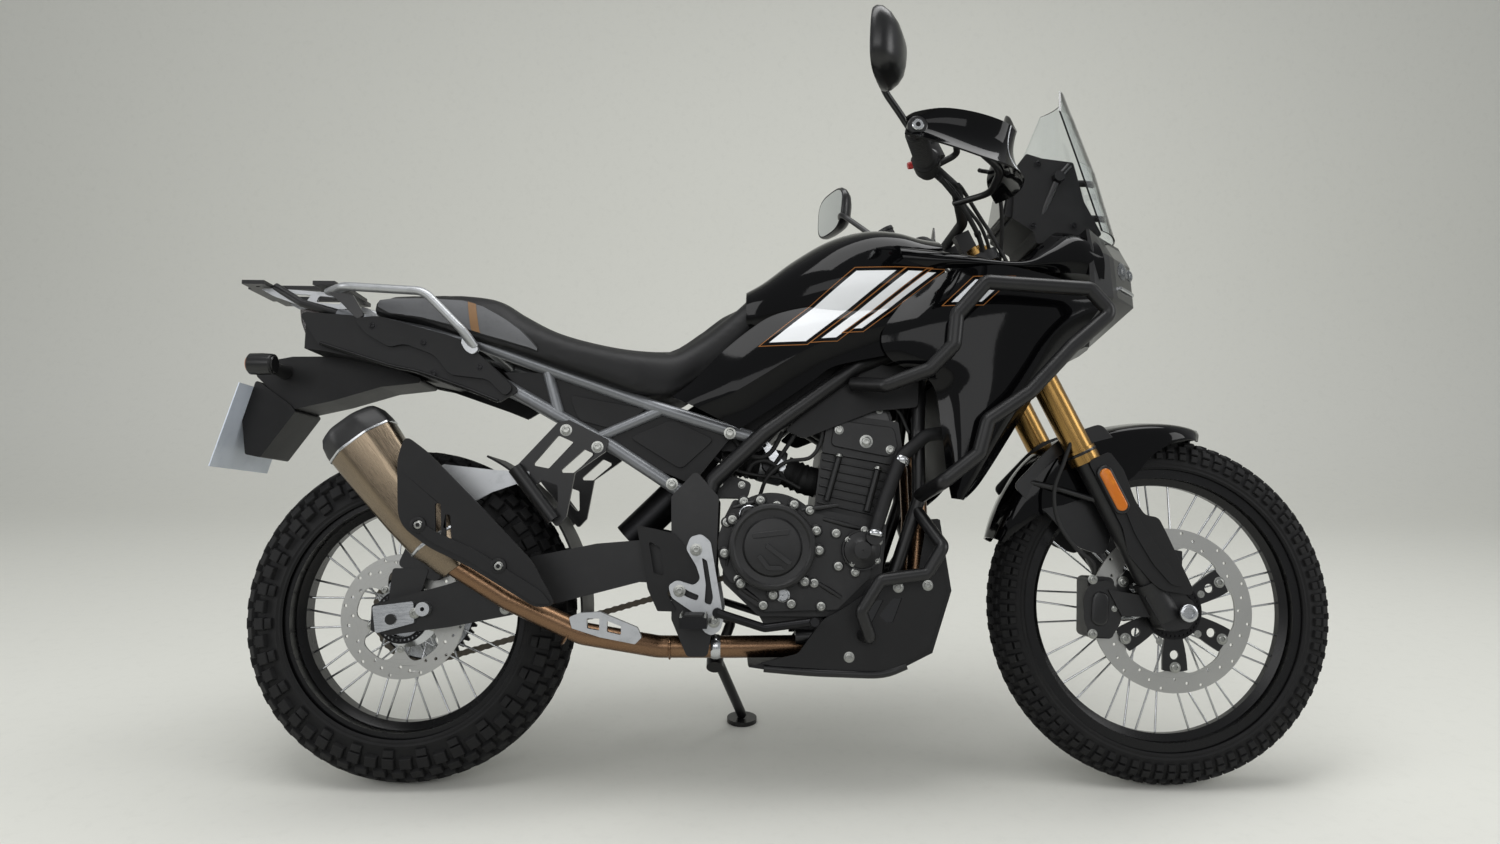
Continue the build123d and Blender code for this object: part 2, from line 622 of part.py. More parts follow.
CASE = [(640, 556), (622, 520), (622, 398), (690, 335), (838, 335), (925, 404), (936, 512), (800, 540)]
BLOCK = [(798, 540), (936, 512), (952, 626), (812, 650)]
ENGINE_HALF = 118.0
SPROCKET_POCKET = 64.0


def engine_cases():
    """Crankcase and cylinder block, with a pocket for the gearbox sprocket on the left."""
    case = plate(CASE, -ENGINE_HALF, ENGINE_HALF, 8)
    cylinders = plate(BLOCK, -92, 92)
    sump = plate([(690, 336), (706, 308), (806, 308), (820, 336)], -88, 88)
    pocket = post(SPROCKET, SPROCKET_POCKET, CHAIN_Y - 16, ENGINE_HALF + 2)
    pocket += block((560, CHAIN_Y - 16, 330), (SPROCKET[0], ENGINE_HALF + 2, 560))
    shaft = post(SPROCKET, 14, CHAIN_Y - 17, CHAIN_Y + 12)
    pulley = post(SPROCKET, pitch_radius(FRONT_TEETH) - CHAIN_HALF_HEIGHT - 1, CHAIN_Y - 4, CHAIN_Y + 4)
    return case + cylinders + sump - pocket + shaft + pulley


def cylinder_head():
    """Twin-cylinder head with its cam cover."""
    head = plate([(812, 651), (952, 627), (972, 655), (964, 712), (828, 728)], -100, 100, 5)
    cover = plate([(836, 727), (958, 711), (944, 748), (905, 764), (858, 752)], -84, 84, 8)
    return head + cover


CLUTCH = (713.0, 467.0)
CLUTCH_R = 80.0
PUMP = (884.0, 462.0)
GENERATOR = (812.0, 432.0)


def engine_covers():
    """Clutch cover and water pump on the right, generator cover and sprocket guard on the left."""
    face = -ENGINE_HALF
    clutch = post(CLUTCH, CLUTCH_R + 22, face - 22, face) + post(CLUTCH, CLUTCH_R, face - 66, face - 21)
    skirt = plate([(650, 380), (700, 345), (838, 350), (900, 410), (905, 500), (800, 530), (660, 530)],
                  face - 20, face, 10)
    pump = post(PUMP, 38, face - 34, face - 10) + post((PUMP[0] + 22, PUMP[1] + 26), 16, face - 48, face - 16)
    right = clutch + skirt + pump
    left = post(GENERATOR, 78, -face, -face + 44) + post(GENERATOR, 60, -face + 43, -face + 52)
    left += plate([(618, 490), (618, 400), (680, 372), (712, 400), (712, 500), (650, 515)],
                  -face, -face + 12, 8)
    return right + left


RADIATOR = [(1036, 786), (1078, 792), (1106, 600), (1064, 594)]


def radiator():
    """Radiator core with its side tanks, behind the front wheel."""
    outline = stretched(RADIATOR)
    core = plate(outline, -118, 118)
    tank = plate(outline, 118, 136)
    hose = tube([(PUMP[0] + 22, -150, 488), (930, -146, 560), (962, -140, 640), (front(1010), -140, 682),
                 (front(1066), -128, 690)], 13, 30)
    pad = block((front(1054), 135, 735), (front(1076), 158 - STEP_GAP, 768))
    return core + both(tank + pad) + (hose - engine_covers())


# ---------------------------------------------------------------- exhaust
PIPE_R = 21.0
SILENCER = [                   # x, z, half height, half width of the can's sections
    (122, 426, 34, 34), (98, 452, 46, 44), (20, 562, 60, 52), (-52, 656, 66, 54), (-84, 692, 56, 48),
]
SILENCER_Y = -164.0


def exhaust_pipe():
    """Two header pipes into one pipe that runs under the engine to the silencer."""
    pipe = tube([
        (936, -52, 304), (800, -70, 275), (640, -94, 275), (500, -106, 276), (360, -146, 304),
        (228, -162, 366), (SILENCER[0][0] - 6, SILENCER_Y, SILENCER[0][1] + 8)], PIPE_R, 60)
    headers = None
    for y in (-52, 40):
        header = tube([(950, y, 668), (1006, y, 640), (1010, y, 520), (1000, y - 6, 380),
                       (952, y * 0.5 - 26, 304), (880, -58, 287)], 18, 34)
        headers = header if headers is None else headers + header
    return (pipe + headers) - cylinder_head() - silencer()


CAN_FLAT = 0.45                # share of the can's half height at which its flats meet


def can_section(x, z, half_height, half_width):
    """An eight-sided section across the silencer's axis, flat on its outer side."""
    slope = atan2(SILENCER[-1][1] - SILENCER[0][1], SILENCER[0][0] - SILENCER[-1][0])
    plane = Plane(origin=(x, SILENCER_Y, z), x_dir=(0, 1, 0), z_dir=(-cos(slope), 0, sin(slope)))
    corners = [(half_width, half_height * CAN_FLAT), (half_width * CAN_FLAT, half_height)]
    corners += [(-y, z) for y, z in reversed(corners)]
    corners += [(y, -z) for y, z in reversed(corners)]
    return plane * Polygon(*corners, align=None)


def silencer():
    """The can, wider towards its end cap, with a stub outlet."""
    can = loft([can_section(*row) for row in SILENCER], ruled=True)
    x, z, height, width = SILENCER[-1]
    outlet = tube([(x, SILENCER_Y, z), (x - 18, SILENCER_Y, z + 22)], 20)
    return can + outlet


SHIELD = [(44, 664), (88, 632), (210, 512), (282, 438), (326, 362), (292, 356), (166, 430), (96, 470),
          (46, 510), (30, 620)]


def silencer_shield():
    """Heat shield outside the can and the pipe's end."""
    stay = plate([(40, 500), (60, 478), (86, 502), (66, 526)], SILENCER_Y - 63, SILENCER_Y - 30)
    return plate(SHIELD, SILENCER_Y - 68, SILENCER_Y - 62, 10) + (stay - silencer())


# ---------------------------------------------------------------- bodywork
TANK = [                       # x, bottom z, shoulder z, top z, bottom half, shoulder half, top half
    (690, 880, 950, 985, 62, 92, 60), (780, 868, 985, 1050, 92, 130, 82),
    (900, 864, 1010, 1100, 104, 150, 96), (985, 872, 1016, 1098, 108, 156, 104),
    (1095, 890, 1012, 1082, 106, 150, 104),
]
TANK_FRONT = -90.0             # front face, behind the steering axis


def fuel_tank():
    """The tank between seat and steering head, open below for the frame's spars."""
    sections = [
        station(x, [(low, z0), (wide, z1), (top * 1.15, z2 - 18), (top * 0.6, z2)])
        for x, z0, z1, z2, low, wide, top in stretched(TANK)
    ]
    tank = loft(sections, ruled=True)
    front = STEER.location * block((TANK_FRONT, -300, 300), (400, 300, 1100))
    neck = post_up(FILLER, FILLER_R + 6, 1060, FILLER_TOP - 5)
    ear = block((LID_HINGE[0] - 5, 9 + STEP_GAP, 1088), (LID_HINGE[0] + 5, 15, LID_HINGE[1] + 4))
    pin = post(LID_HINGE, 2, -14, 14)
    head = STEER.location * (Pos(0, 0, HEAD_MIDDLE) * Cylinder(HEAD_TUBE_R + STEP_GAP, 400))
    return (tank - front) + neck + both(ear) + pin - both(spar_tube(FRAME_TUBE_R + STEP_GAP)) - head


FILLER = (front(960.0), 0.0)
FILLER_R = 34.0
FILLER_TOP = 1106.0
LID_HINGE = (FILLER[0] + FILLER_R + 12, FILLER_TOP + 2)


def post_up(spot, radius, low, high):
    """An upright round bar."""
    return Pos(spot[0], spot[1], (low + high) / 2) * Cylinder(radius, high - low)


def filler_lid():
    """Hinged lid over the filler neck."""
    base = FILLER_TOP - 5
    lid = post_up(FILLER, FILLER_R, base + STEP_GAP, base + 11)
    lug = block((FILLER[0] + FILLER_R - 8, -9, base + 3), (LID_HINGE[0], 9, base + 11))
    lug += post(LID_HINGE, 4, -9, 9)
    return lid + lug - post(LID_HINGE, 2 + RUNNING_GAP, -10, 10)


SEAT = [                       # x, bottom z, top z, half width at the bottom, half width at the top
    (-84, 930, 962, 84, 70), (30, 900, 960, 130, 108), (120, 872, 954, 150, 118), (186, 850, 936, 150, 122),
    (240, 832, 900, 150, 128), (337, 798, 866, 158, 140), (450, 758, 848, 150, 128), (520, 764, 854, 128, 100),
    (580, 800, 890, 104, 78), (672, 880, 982, 90, 58),
]


def seat():
    """Two-level seat, widest under the rider and narrow at the tank."""
    sections = [
        station(x, [(low * 0.86, z0), (low, z0 + 14), (top, z1 - 10), (top * 0.7, z1)])
        for x, z0, z1, low, top in stretched(SEAT)
    ]
    return loft(sections, ruled=True) - subframe_rails(STEP_GAP)


FAIRING = [
    (-224, -55), (-137, 60.5), (-2, 79.5), (84, 61.5), (189, 41), (211, 8), (147, -76), (99, -134), (20, -256),
    (-47, -350), (-76, -373), (-96, -365), (-109, -319), (-130, -149), (-187, -121), (-234, -97),
]


def side_fairings():
    """Side fairings with their pointed radiator shrouds."""
    outer = panel(from_head(FAIRING), 166, 204, 0.93)
    inner = panel(from_head(FAIRING), 158, 166, 1.0)
    nose = block((HEAD[0] + NOSE_BACK - STEP_GAP, 0, HEAD[1] - 400), (HEAD[0] + 400, 178 + STEP_GAP, HEAD[1] + 200))
    return both((outer + inner) - nose)


SIDE_PANEL = [
    (694, 957), (679, 871), (580, 747), (598, 715), (642, 696), (664, 712), (901, 846), (926, 878),
    (1010, 992), (960, 1010),
]


def side_panels():
    """Covers under the tank that follow the frame's spar."""
    return both(plate(stretched(SIDE_PANEL), 157, 165, 6))


TRIM = [(-185, 123), (34, 93), (81, 119), (125, 160), (160, 152), (162, 58), (84, 62), (-2, 80), (-137, 61)]


def upper_trims():
    """Matt trims from the tank's shoulders to the nose."""
    return both(panel(from_head(TRIM), 156.5, 186, 0.97))


NOSE = [                       # up, then ahead and half width at the tip, the corner and the side
    (-72, 200, 40, 192, 110, 184, 140), (30, 315, 45, 240, 130, 186, 176),
    (115, 310, 45, 234, 130, 184, 178), (158, 290, 40, 214, 122, 182, 165),
]
NOSE_BACK = 176.0


def nose_section(up, tip, tip_half, corner, corner_half, side, side_half):
    """A level section through the nose."""
    half = [(NOSE_BACK, side_half), (side, side_half), (corner, corner_half), (tip, tip_half)]
    points = [(HEAD[0] + x, y) for x, y in half] + [(HEAD[0] + x, -y) for x, y in reversed(half)]
    return Plane.XY.offset(HEAD[1] + up) * make_face(Polyline(*points, close=True))


def nose_cowl():
    """The nose around the headlamp."""
    nose = loft([nose_section(*row) for row in NOSE], ruled=True)
    return nose - lamp_block(0)


def lamp_block(gap):
    """The space that the headlamp fills in the nose."""
    return plate(from_head([(236, 36 - gap), (340, 30 - gap), (340, 150 + gap), (236, 150 + gap)]),
                 -112 - gap, 112 + gap)


def headlamp():
    """Wide headlamp set into the nose."""
    full = loft([nose_section(*row) for row in NOSE], ruled=True)
    return full & lamp_block(-STEP_GAP)


SCREEN = [                     # up, ahead at the middle, ahead at the edge, half width
    (168, 288, 226, 124), (300, 250, 172, 152), (420, 214, 150, 120), (490, 196, 172, 62),
]
SCREEN_WALL = 4.0


def windscreen():
    """Clear curved screen."""
    sections = []
    for up, middle, edge, half in SCREEN:
        outer = ThreePointArc((edge, half), (middle, 0), (edge, -half))
        inner = ThreePointArc((edge - SCREEN_WALL, half), (middle - SCREEN_WALL, 0), (edge - SCREEN_WALL, -half))
        closing = Line((edge, half), (edge - SCREEN_WALL, half)) + Line((edge, -half), (edge - SCREEN_WALL, -half))
        face = make_face(outer + inner + closing)
        sections.append(Plane((HEAD[0], 0, HEAD[1] + up)) * face)
    return loft(sections, ruled=True)


TOWER = [(104, 150), (98, 176), (56, 204), (66, 313), (87, 342), (120, 332), (184, 324), (204, 240), (240, 168),
         (160, 166)]


def dash_tower():
    """The tower that carries screen and display, with the screen's two struts."""
    tower = plate(from_head(TOWER), -88, 88, 6)
    tower += plate(from_head([
        (118, 150), (150, 120), (NOSE_BACK - STEP_GAP, 120), (NOSE_BACK - STEP_GAP, NOSE[-1][0] + STEP_GAP),
        (200, NOSE[-1][0] + STEP_GAP), (200, 168), (118, 172)]), -60, 60)
    screen = plate(from_head([(57, 210), (74, 300), (62, 303), (45, 213)]), -74, 74, 3)
    struts = [
        tube([(HEAD[0] + 150, side * 60, HEAD[1] + up), (HEAD[0] + 262, side * 60, HEAD[1] + up)], 7)
        for side in (-1, 1) for up in (215, 290)
    ]
    beyond = block((HEAD[0] + 100, -90, HEAD[1] + 165), (HEAD[0] + 400, 90, HEAD[1] + 340))
    ahead = screen_front()
    tower += screen
    for strut in struts:
        tower += (strut & beyond) - ahead
    return tower


def screen_front():
    """The space from the screen's inner face forward."""
    sections = []
    for up, middle, edge, half in SCREEN:
        inner = ThreePointArc((edge - SCREEN_WALL, half), (middle - SCREEN_WALL, 0), (edge - SCREEN_WALL, -half))
        rest = Polyline((edge - SCREEN_WALL, half), (400, half), (400, -half), (edge - SCREEN_WALL, -half))
        sections.append(Plane((HEAD[0], 0, HEAD[1] + up)) * make_face(inner + rest))
    return loft(sections, ruled=True)


# ---------------------------------------------------------------- tail
def subframe_rails(grow):
    """Upper and lower rails with struts and cross tubes, grown by a clearance."""
    radius = SUBFRAME_TUBE_R + grow
    upper = tube([(-152, 80, 919), (122, 116, 862), (281, 118, 806), (492, 118, 733), (690, 120, 672)],
                 radius, 60)
    lower = tube([(60, 112, 838), (193, 118, 775), (404, 118, 657), (545, 118, 566), (566, 118, 540)],
                 radius, 30)
    struts = tube([(372, 118, 672), (498, 118, 728)], radius - 2)
    struts += tube([(300, 118, 720), (276, 118, 800)], radius - 2)
    cross = post((-100, 906), 10 + grow, -88, 88) + post((150, 850), 10 + grow, -116, 116)
    cross += post((440, 748), 10 + grow, -118, 118)
    return both(upper + lower + struts) + cross


def subframe():
    """The rear subframe, bolted to the main frame's spars and pivot plates."""
    return subframe_rails(0) - main_frame()


def tail_cowl():
    """Tail panels each side and the deck between them."""
    side = plate([(-106, 906), (47, 878), (125, 850), (226, 762), (188, 738), (16, 797), (-164, 848),
                  (-207, 912)], 131, 139, 8)
    deck = plate([(-196, 842), (-196, 916), (-136, 892), (-60, 868), (60, 800), (40, 796), (-150, 836)], -126, 126)
    return both(side + block((-150, 120, 852), (-110, 132, 880))) + deck


def tail_lamp():
    """Tail lamp behind the deck."""
    return plate([(-240, 938), (-196 - STEP_GAP, 936), (-196 - STEP_GAP, 852), (-218, 868)], -58, 58)


RACK_TOP = 985.0
RACK_REAR = -350.0


RACK_LUG = (44.0, 42.0)        # along and across the machine
RACK_WINDOW = (80.0, 76.0)
LUG_HOLE_IN = 21.0             # from the rack's side edge to a hole's middle


def rack():
    """Flat rack plate with a window in it."""
    length, width, wall = RACK_SIZE
    half = width / 2 - RACK_LUG[1]
    top = block((RACK_REAR, -half, RACK_TOP - wall), (RACK_REAR + length, half, RACK_TOP))
    middle = RACK_REAR + length / 2
    hole = [(middle + way * RACK_WINDOW[0] / 2, way * RACK_WINDOW[1] / 2) for way in (-1, 1)]
    return top - block((*hole[0], RACK_TOP - 2 * wall), (*hole[1], RACK_TOP + wall))


def rack_lugs():
    """Four square lugs at the rack's corners, each with its lashing hole."""
    wall = RACK_SIZE[2]
    edge = RACK_SIZE[1] / 2
    lugs = []
    for x in rack_hole_x():
        lug = block((x - RACK_LUG[0] / 2, edge - RACK_LUG[1], RACK_TOP - wall), (x + RACK_LUG[0] / 2, edge, RACK_TOP))
        lugs.append(lug - post_up((x, edge - LUG_HOLE_IN), RACK_HOLE_R, RACK_TOP - 2 * wall, RACK_TOP + wall))
    return both(lugs[0] + lugs[1])


def rack_legs():
    """Bent legs from the subframe's rails to the rack's underside."""
    rise = [(RACK_REAR + 60, 62, RACK_TOP - 5), (RACK_REAR + 120, 74, 944), (-138, 82, 918)]
    return both(tube(rise, 8, 14)) - rack() - rack_lugs() - subframe_rails(0)


def rack_hole_x():
    """Where the rack's holes lie along it."""
    return RACK_REAR + 30, RACK_REAR + RACK_SIZE[0] - 30


def grab_rails():
    """Hand rails beside the pillion seat."""
    rail = tube([(-170, 84, RACK_TOP - RACK_SIZE[2] - 10 - STEP_GAP), (-108, 164, 960), (40, 176, 944), (110, 172, 900), (124, 166, 862),
                 (134, 138, 846)], 10, 14)
    return both(rail) - tail_cowl()


def plate_holder():
    """Tail arm behind the rear wheel with the lamps' stubs and the plate's backing."""
    arm = plate([(-130, 840), (-34, 812), (28, 790), (-71, 778), (-169, 748), (-247, 730), (-318, 796),
                 (-330, 822), (-250, 838)], -56, 56, 6)
    backing = plate([(-318, 790), (-247, 740), (-236, 726), (-300, 634), (-330, 640), (-340, 706)], -60, 60, 5)
    stub = tube([(-262, 50, 806), (-262, 168, 806)], 11)
    lamp = tube([(-285, 150, 806), (-240, 150, 806)], 19)
    return arm + backing + both(stub + lamp) - tail_cowl() - number_plate()


NUMBER_PLATE = (230.0, 170.0, 2.0)


def number_plate():
    """Blank plate."""
    width, height, wall = NUMBER_PLATE
    sheet = Rot(0, PLATE_TILT, 0) * Box(wall, width, height)
    return Pos(-346, 0, 694) * sheet


PLATE_TILT = 16.0


# ---------------------------------------------------------------- running gear on the frame
ARM_TOP = [(-40, 352), (100, 391), (237, 440), (380, 470), (461, 477), (PIVOT[0] + 8, PIVOT[1] + 26)]
ARM_BOTTOM = [(PIVOT[0] + 8, PIVOT[1] - 26), (463, 398), (219, 334), (108, 312), (-7, 296), (-40, 304)]


def swingarm():
    """Two arms, a bridge ahead of the tyre, the pivot tube and the rear axle."""
    right = plate(ARM_TOP + ARM_BOTTOM, -126, -98, 6)
    left = plate(ARM_TOP + ARM_BOTTOM, 98, 126, 6)
    bridge = plate([(362, 462), (462, 476), (462, 400), (362, 374)], -99, 99)
    slot = block((300, CHAIN_Y - CHAIN_WIDTH / 2 - 5, 432), (500, CHAIN_Y + CHAIN_WIDTH / 2 + 5, 500))
    pivot_tube = post(PIVOT, 26, -126, 126)
    axle = post(REAR_AXLE, AXLE_R, -138, 138)
    arms = right + left + (bridge - slot) + pivot_tube
    arms -= post(PIVOT, PIVOT_R, -140, 140)
    arms += axle
    arms += post(REAR_AXLE, AXLE_R + 9, -99, DISC_Y - DISC_WALL / 2 - STEP_GAP)
    arms += post(REAR_AXLE, AXLE_R + 9, CHAIN_Y + 4 + STEP_GAP, 99)
    return arms


SPOOL = (60.0, 346.0)          # x and z of the paddock stand bosses
SPOOL_LENGTH = 16.0
ARM_OUTER = 126.0


def paddock_spools():
    """Threaded bosses on the swingarm's outer faces."""
    return both(ring(SPOOL, 13, SPOOL_HOLE_R, ARM_OUTER, ARM_OUTER + SPOOL_LENGTH))


def chain():
    """Closed chain band round both sprockets."""
    small = pitch_radius(FRONT_TEETH)
    large = pitch_radius(REAR_TEETH)
    run = hypot(SPROCKET[0] - REAR_AXLE[0], SPROCKET[1] - REAR_AXLE[1])
    slope = atan2(SPROCKET[1] - REAR_AXLE[1], SPROCKET[0] - REAR_AXLE[0])
    spread = asin((large - small) / run)

    def loop(grow):
        spots = []
        for centre, radius, angles in (
                (REAR_AXLE, large + grow, (90 - degrees(spread), 180, 270 + degrees(spread))),
                (SPROCKET, small + grow, (-90 + degrees(spread), 0, 90 - degrees(spread)))):
            for angle in angles:
                turn = radians(angle) + slope
                spots.append((centre[0] + radius * cos(turn), centre[1] + radius * sin(turn)))
        lines = ThreePointArc(*spots[:3]) + Line(spots[2], spots[3])
        lines += ThreePointArc(*spots[3:]) + Line(spots[5], spots[0])
        return make_face(lines)

    band = loop(CHAIN_HALF_HEIGHT) - loop(-CHAIN_HALF_HEIGHT)
    return extrude(Plane.XZ.offset(-CHAIN_Y - CHAIN_WIDTH / 2) * band, CHAIN_WIDTH)


def shock():
    """Spring and damper from the swingarm's bridge to the frame's cross tube."""
    low = (428, 0, 478)
    high = (PIVOT[0] - 18, 0, 590)
    return tube([low, high], 34) - swingarm() - main_frame()


def rear_brake():
    """Rear caliper above the axle on its bracket."""
    tilt = radians(112)
    reach = REAR_DISC_R - 8
    body = Pos(-reach * cos(tilt), 0, REAR_AXLE[1] + reach * sin(tilt)) * Rot(0, degrees(tilt), 0) * caliper(
        84, 46, -96, -40)
    bracket = plate([(-22, 316), (-14, 420), (56, 420), (24, 318)], -97.7, -92, 6)
    return body + bracket - post(REAR_AXLE, AXLE_R + 9 + FIT_GAP, -110, -40)


PIVOT_PLATE_OUT = 146.0
HEEL_WALL = 6.0
BRACKET_IN = PIVOT_PLATE_OUT + HEEL_WALL + FIT_GAP
BRACKET_OUT = BRACKET_IN + 8.0
PEG_BRACKET = [(552, 462), (560, 484), (580, 490), (598, 476), (624, 332), (618, 312), (602, 302), (586, 310),
               (578, 338), (556, 352), (526, 372), (520, 394), (536, 404), (568, 394), (580, 406), (572, 430)]


def peg_brackets():
    """Cast brackets outside the pivot plates."""
    return both(plate(PEG_BRACKET, BRACKET_IN, BRACKET_OUT, 3))


HEEL_GUARD = [(458, 505), (496, 498), (530, 490), (590, 420), (590, 392), (527, 400), (518, 378), (536, 345),
              (500, 346), (481, 387), (472, 435)]
HEEL_WINDOW = [(481, 476), (503, 464), (512, 411), (492, 416)]


def heel_guards():
    """Plates with a window, held between the pivot plates and the peg brackets."""
    low, high = PIVOT_PLATE_OUT + FIT_GAP, BRACKET_IN - FIT_GAP
    return both(plate(HEEL_GUARD, low, high, 3) - plate(HEEL_WINDOW, low - 1, high + 1, 3))


def footpegs():
    """Riders' pegs with the brake pedal and gear lever."""
    peg = block((545, BRACKET_OUT, 322), (595, 236, 342)) + post((570, 332), 12, BRACKET_OUT, 176)
    peg += post((612, 345), 9, BRACKET_OUT, 174)
    pedal = tube([(612, 169, 345), (700, 171, 318), (790, 172, 330)], 8, 20)
    toe = tube([(790, 172, 330), (790, 205, 332)], 8)
    return both(peg + pedal + toe)


HANGER = [(300, 700), (322, 706), (400, 668), (394, 646), (336, 604), (322, 520), (304, 500), (262, 552),
          (222, 596), (226, 618)]
HANGER_WINDOWS = [
    [(302, 676), (334, 662), (286, 612), (254, 618)], [(354, 650), (376, 640), (334, 604), (304, 604)],
    [(274, 590), (304, 580), (306, 530), (260, 578)],
]


def pillion_hangers():
    """Cast triangular hangers with three windows, and the pillion pegs folded up."""
    arm = plate(HANGER, 124, 134, 5)
    for window in HANGER_WINDOWS:
        arm -= plate(window, 123, 135, 4)
    peg = tube([(224, 145, 612), (300, 145, 514)], 14)
    return both(arm + peg) - subframe_rails(0)


CAN_HANGER = [(40, 590), (87, 618), (184, 608), (250, 606), (250, 590), (181, 566), (152, 550), (60, 556)]
PIPE_GUARD = [(340, 336), (360, 344), (397, 346), (466, 318), (474, 300), (462, 288), (398, 300), (346, 316)]
PIPE_GUARD_WINDOWS = [[(372, 334), (396, 334), (396, 312), (374, 316)], [(410, 330), (436, 320), (436, 304), (410, 310)]]
PIPE_GUARD_OUT = -178.0


def exhaust_brackets():
    """The can's hanger on the pillion hanger, and the slotted heel plate on the pipe."""
    hanger = plate(CAN_HANGER, -136, -130, 3) - silencer() - pillion_hangers()
    guard = plate(PIPE_GUARD, PIPE_GUARD_OUT, -164, 4) - exhaust_pipe()
    for window in PIPE_GUARD_WINDOWS:
        guard -= plate(window, PIPE_GUARD_OUT - 1, -160, 2)
    return hanger + guard


ADJUSTER = [(-36, 350), (40, 360), (44, 320), (-28, 300)]


def chain_adjusters():
    """Machined blocks round the rear axle, outside the arms."""
    slab = plate(ADJUSTER, ARM_OUTER, ARM_OUTER + 8, 4)
    return both(slab - post(REAR_AXLE, AXLE_R + FIT_GAP, ARM_OUTER - 1, ARM_OUTER + 9))


BAY = [(190, 800), (281, 800), (492, 728), (640, 684), (560, 585), (404, 650), (243, 744)]
HUGGER_IN = 346.0
HUGGER_WALL = 4.0
HUGGER_HALF = 76.0


def inner_panels():
    """Panels that fill the subframe's bays, and the hugger over the front of the rear tyre."""
    bays = both(plate(BAY, 108, 116)) - subframe_rails(FIT_GAP) - main_frame()
    hugger = ring(REAR_AXLE, HUGGER_IN + HUGGER_WALL, HUGGER_IN, -HUGGER_HALF, HUGGER_HALF)
    turn = radians(64)
    far = 2 * HUGGER_IN
    wedge = [REAR_AXLE, (far, REAR_AXLE[1]), (far, far), (far * cos(turn), REAR_AXLE[1] + far * sin(turn))]
    hugger &= plate(wedge, -HUGGER_HALF - 1, HUGGER_HALF + 1)
    tab = block((HUGGER_IN - 8, -30, 404), (362 - FIT_GAP, 30, 436)) - post(REAR_AXLE, HUGGER_IN + 1, -31, 31)
    return bays + (hugger + tab)


AIRBOX = [(612, 652), (640, 720), (720, 790), (800, 846), (884, 846), (884, 800), (808, 780), (744, 706),
          (690, 652)]


def airbox():
    """The airbox behind the cylinders and under the tank, with its two inlet tubes."""
    box = plate(AIRBOX, -88, 88, 6) - post((front(883), 821), 12 + FIT_GAP, -90, 90)
    return box + (both(tube([(836, 40, 690), (752, 40, 740)], 22)) - cylinder_head())


SKID = [(672, 242), (742, 232), (930, 226), (1018, 270), (1056, 386), (1036, 520)]
SKID_WALL = 5.0


def skid_plate():
    """Sump guard: a bent floor with two side wings."""
    inner = [(x - 2, z + SKID_WALL) for x, z in SKID[:3]] + [(x - SKID_WALL, z + 2) for x, z in SKID[3:]]
    floor = plate(SKID + inner[::-1], -112, 112)
    wing = plate([(672, 244), (742, 234), (930, 228), (1016, 272), (1052, 386), (1032, 520), (1012, 520),
                  (990, 400), (850, 350), (808, 328), (760, 262)], 128, 133)
    lip = plate(SKID + inner[::-1], 111, 133)
    return floor + both(wing + lip) - crash_tubes(STEP_GAP)


def crash_tubes(grow):
    """Hoops round the fairings and round the engine, grown by a clearance."""
    hoop = stretched([
        (872, 130, 782), (926, 194, 770), (1002, 226, 796), (1044, 240, 840), (1050, 242, 896),
        (1105, 244, 958), (1300, 240, 948), (1340, 236, 905), (1262, 240, 838), (1180, 244, 752),
        (1104, 240, 700), (1088, 236, 640), (1024, 222, 588), (1002, 112, 566)])
    lower = stretched([(994, 112, 540), (1030, 186, 470), (998, 192, 420), (912, 192, 408)])
    lower += [(876, 190, 350), (896, 170, 300), (880, 112, 304)]
    return both(tube(hoop, CRASH_TUBE_R + grow, 14) + tube(lower, CRASH_TUBE_R - 2 + grow, 12))


def crash_bars():
    """Crash bars clamped to the down tubes and spars."""
    return crash_tubes(0) - main_frame()


# ---------------------------------------------------------------- assembly
BUILDERS = [
    main_frame, subframe, engine_cases, cylinder_head, engine_covers, airbox, radiator, exhaust_pipe, silencer,
    silencer_shield, exhaust_brackets, fuel_tank, filler_lid, seat, side_panels, side_fairings, upper_trims,
    nose_cowl, headlamp, windscreen, dash_tower, tail_cowl, tail_lamp, rack, rack_lugs, rack_legs, grab_rails,
    plate_holder, number_plate, inner_panels, swingarm, paddock_spools, chain_adjusters, chain, shock,
    rear_brake, peg_brackets, heel_guards, footpegs, pillion_hangers, skid_plate, crash_bars, triple_clamps,
    fork_tubes, fork_lowers, fork_guards, front_brake, front_fender, handlebar, handguards, mirrors,
    front_tyre, front_rim, front_hub, front_disc, rear_tyre, rear_rim, rear_hub, rear_disc, side_stand,
]


def middle_of(shapes):
    """Where the ground lies under the middle of the leaning machine."""
    boxes = [shape.bounding_box() for shape in shapes]
    low = [min(getattr(box.min, axis) for box in boxes) for axis in "XYZ"]
    high = [max(getattr(box.max, axis) for box in boxes) for axis in "XYZ"]
    return (low[0] + high[0]) / 2, (low[1] + high[1]) / 2, low[2]


PIECES = {builder.__name__: LEANED * builder() for builder in BUILDERS}
MIDDLE = middle_of(PIECES.values())
TO_ORIGIN = Pos(-MIDDLE[0], -MIDDLE[1], -MIDDLE[2])
os.makedirs("parts", exist_ok=True)
for name, piece in PIECES.items():
    export_step(TO_ORIGIN * piece, f"parts/{name}.step")
    print(name, len(piece.solids()), round(piece.volume / 1e3), "cm3")
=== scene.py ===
# %% [markdown]
# # An adventure motorcycle on its side stand
# The machine was drawn and packed as solids in a CAD program. Here each surface gets its looks: smooth
# bodywork, block-tread tyres, drilled discs, a soft seat, cables, bolts and a finish for every piece.
# Blender works in metres. The solids arrive already leaning on the stand, and they stay where they are.

# %% Load the solids
import json
import math

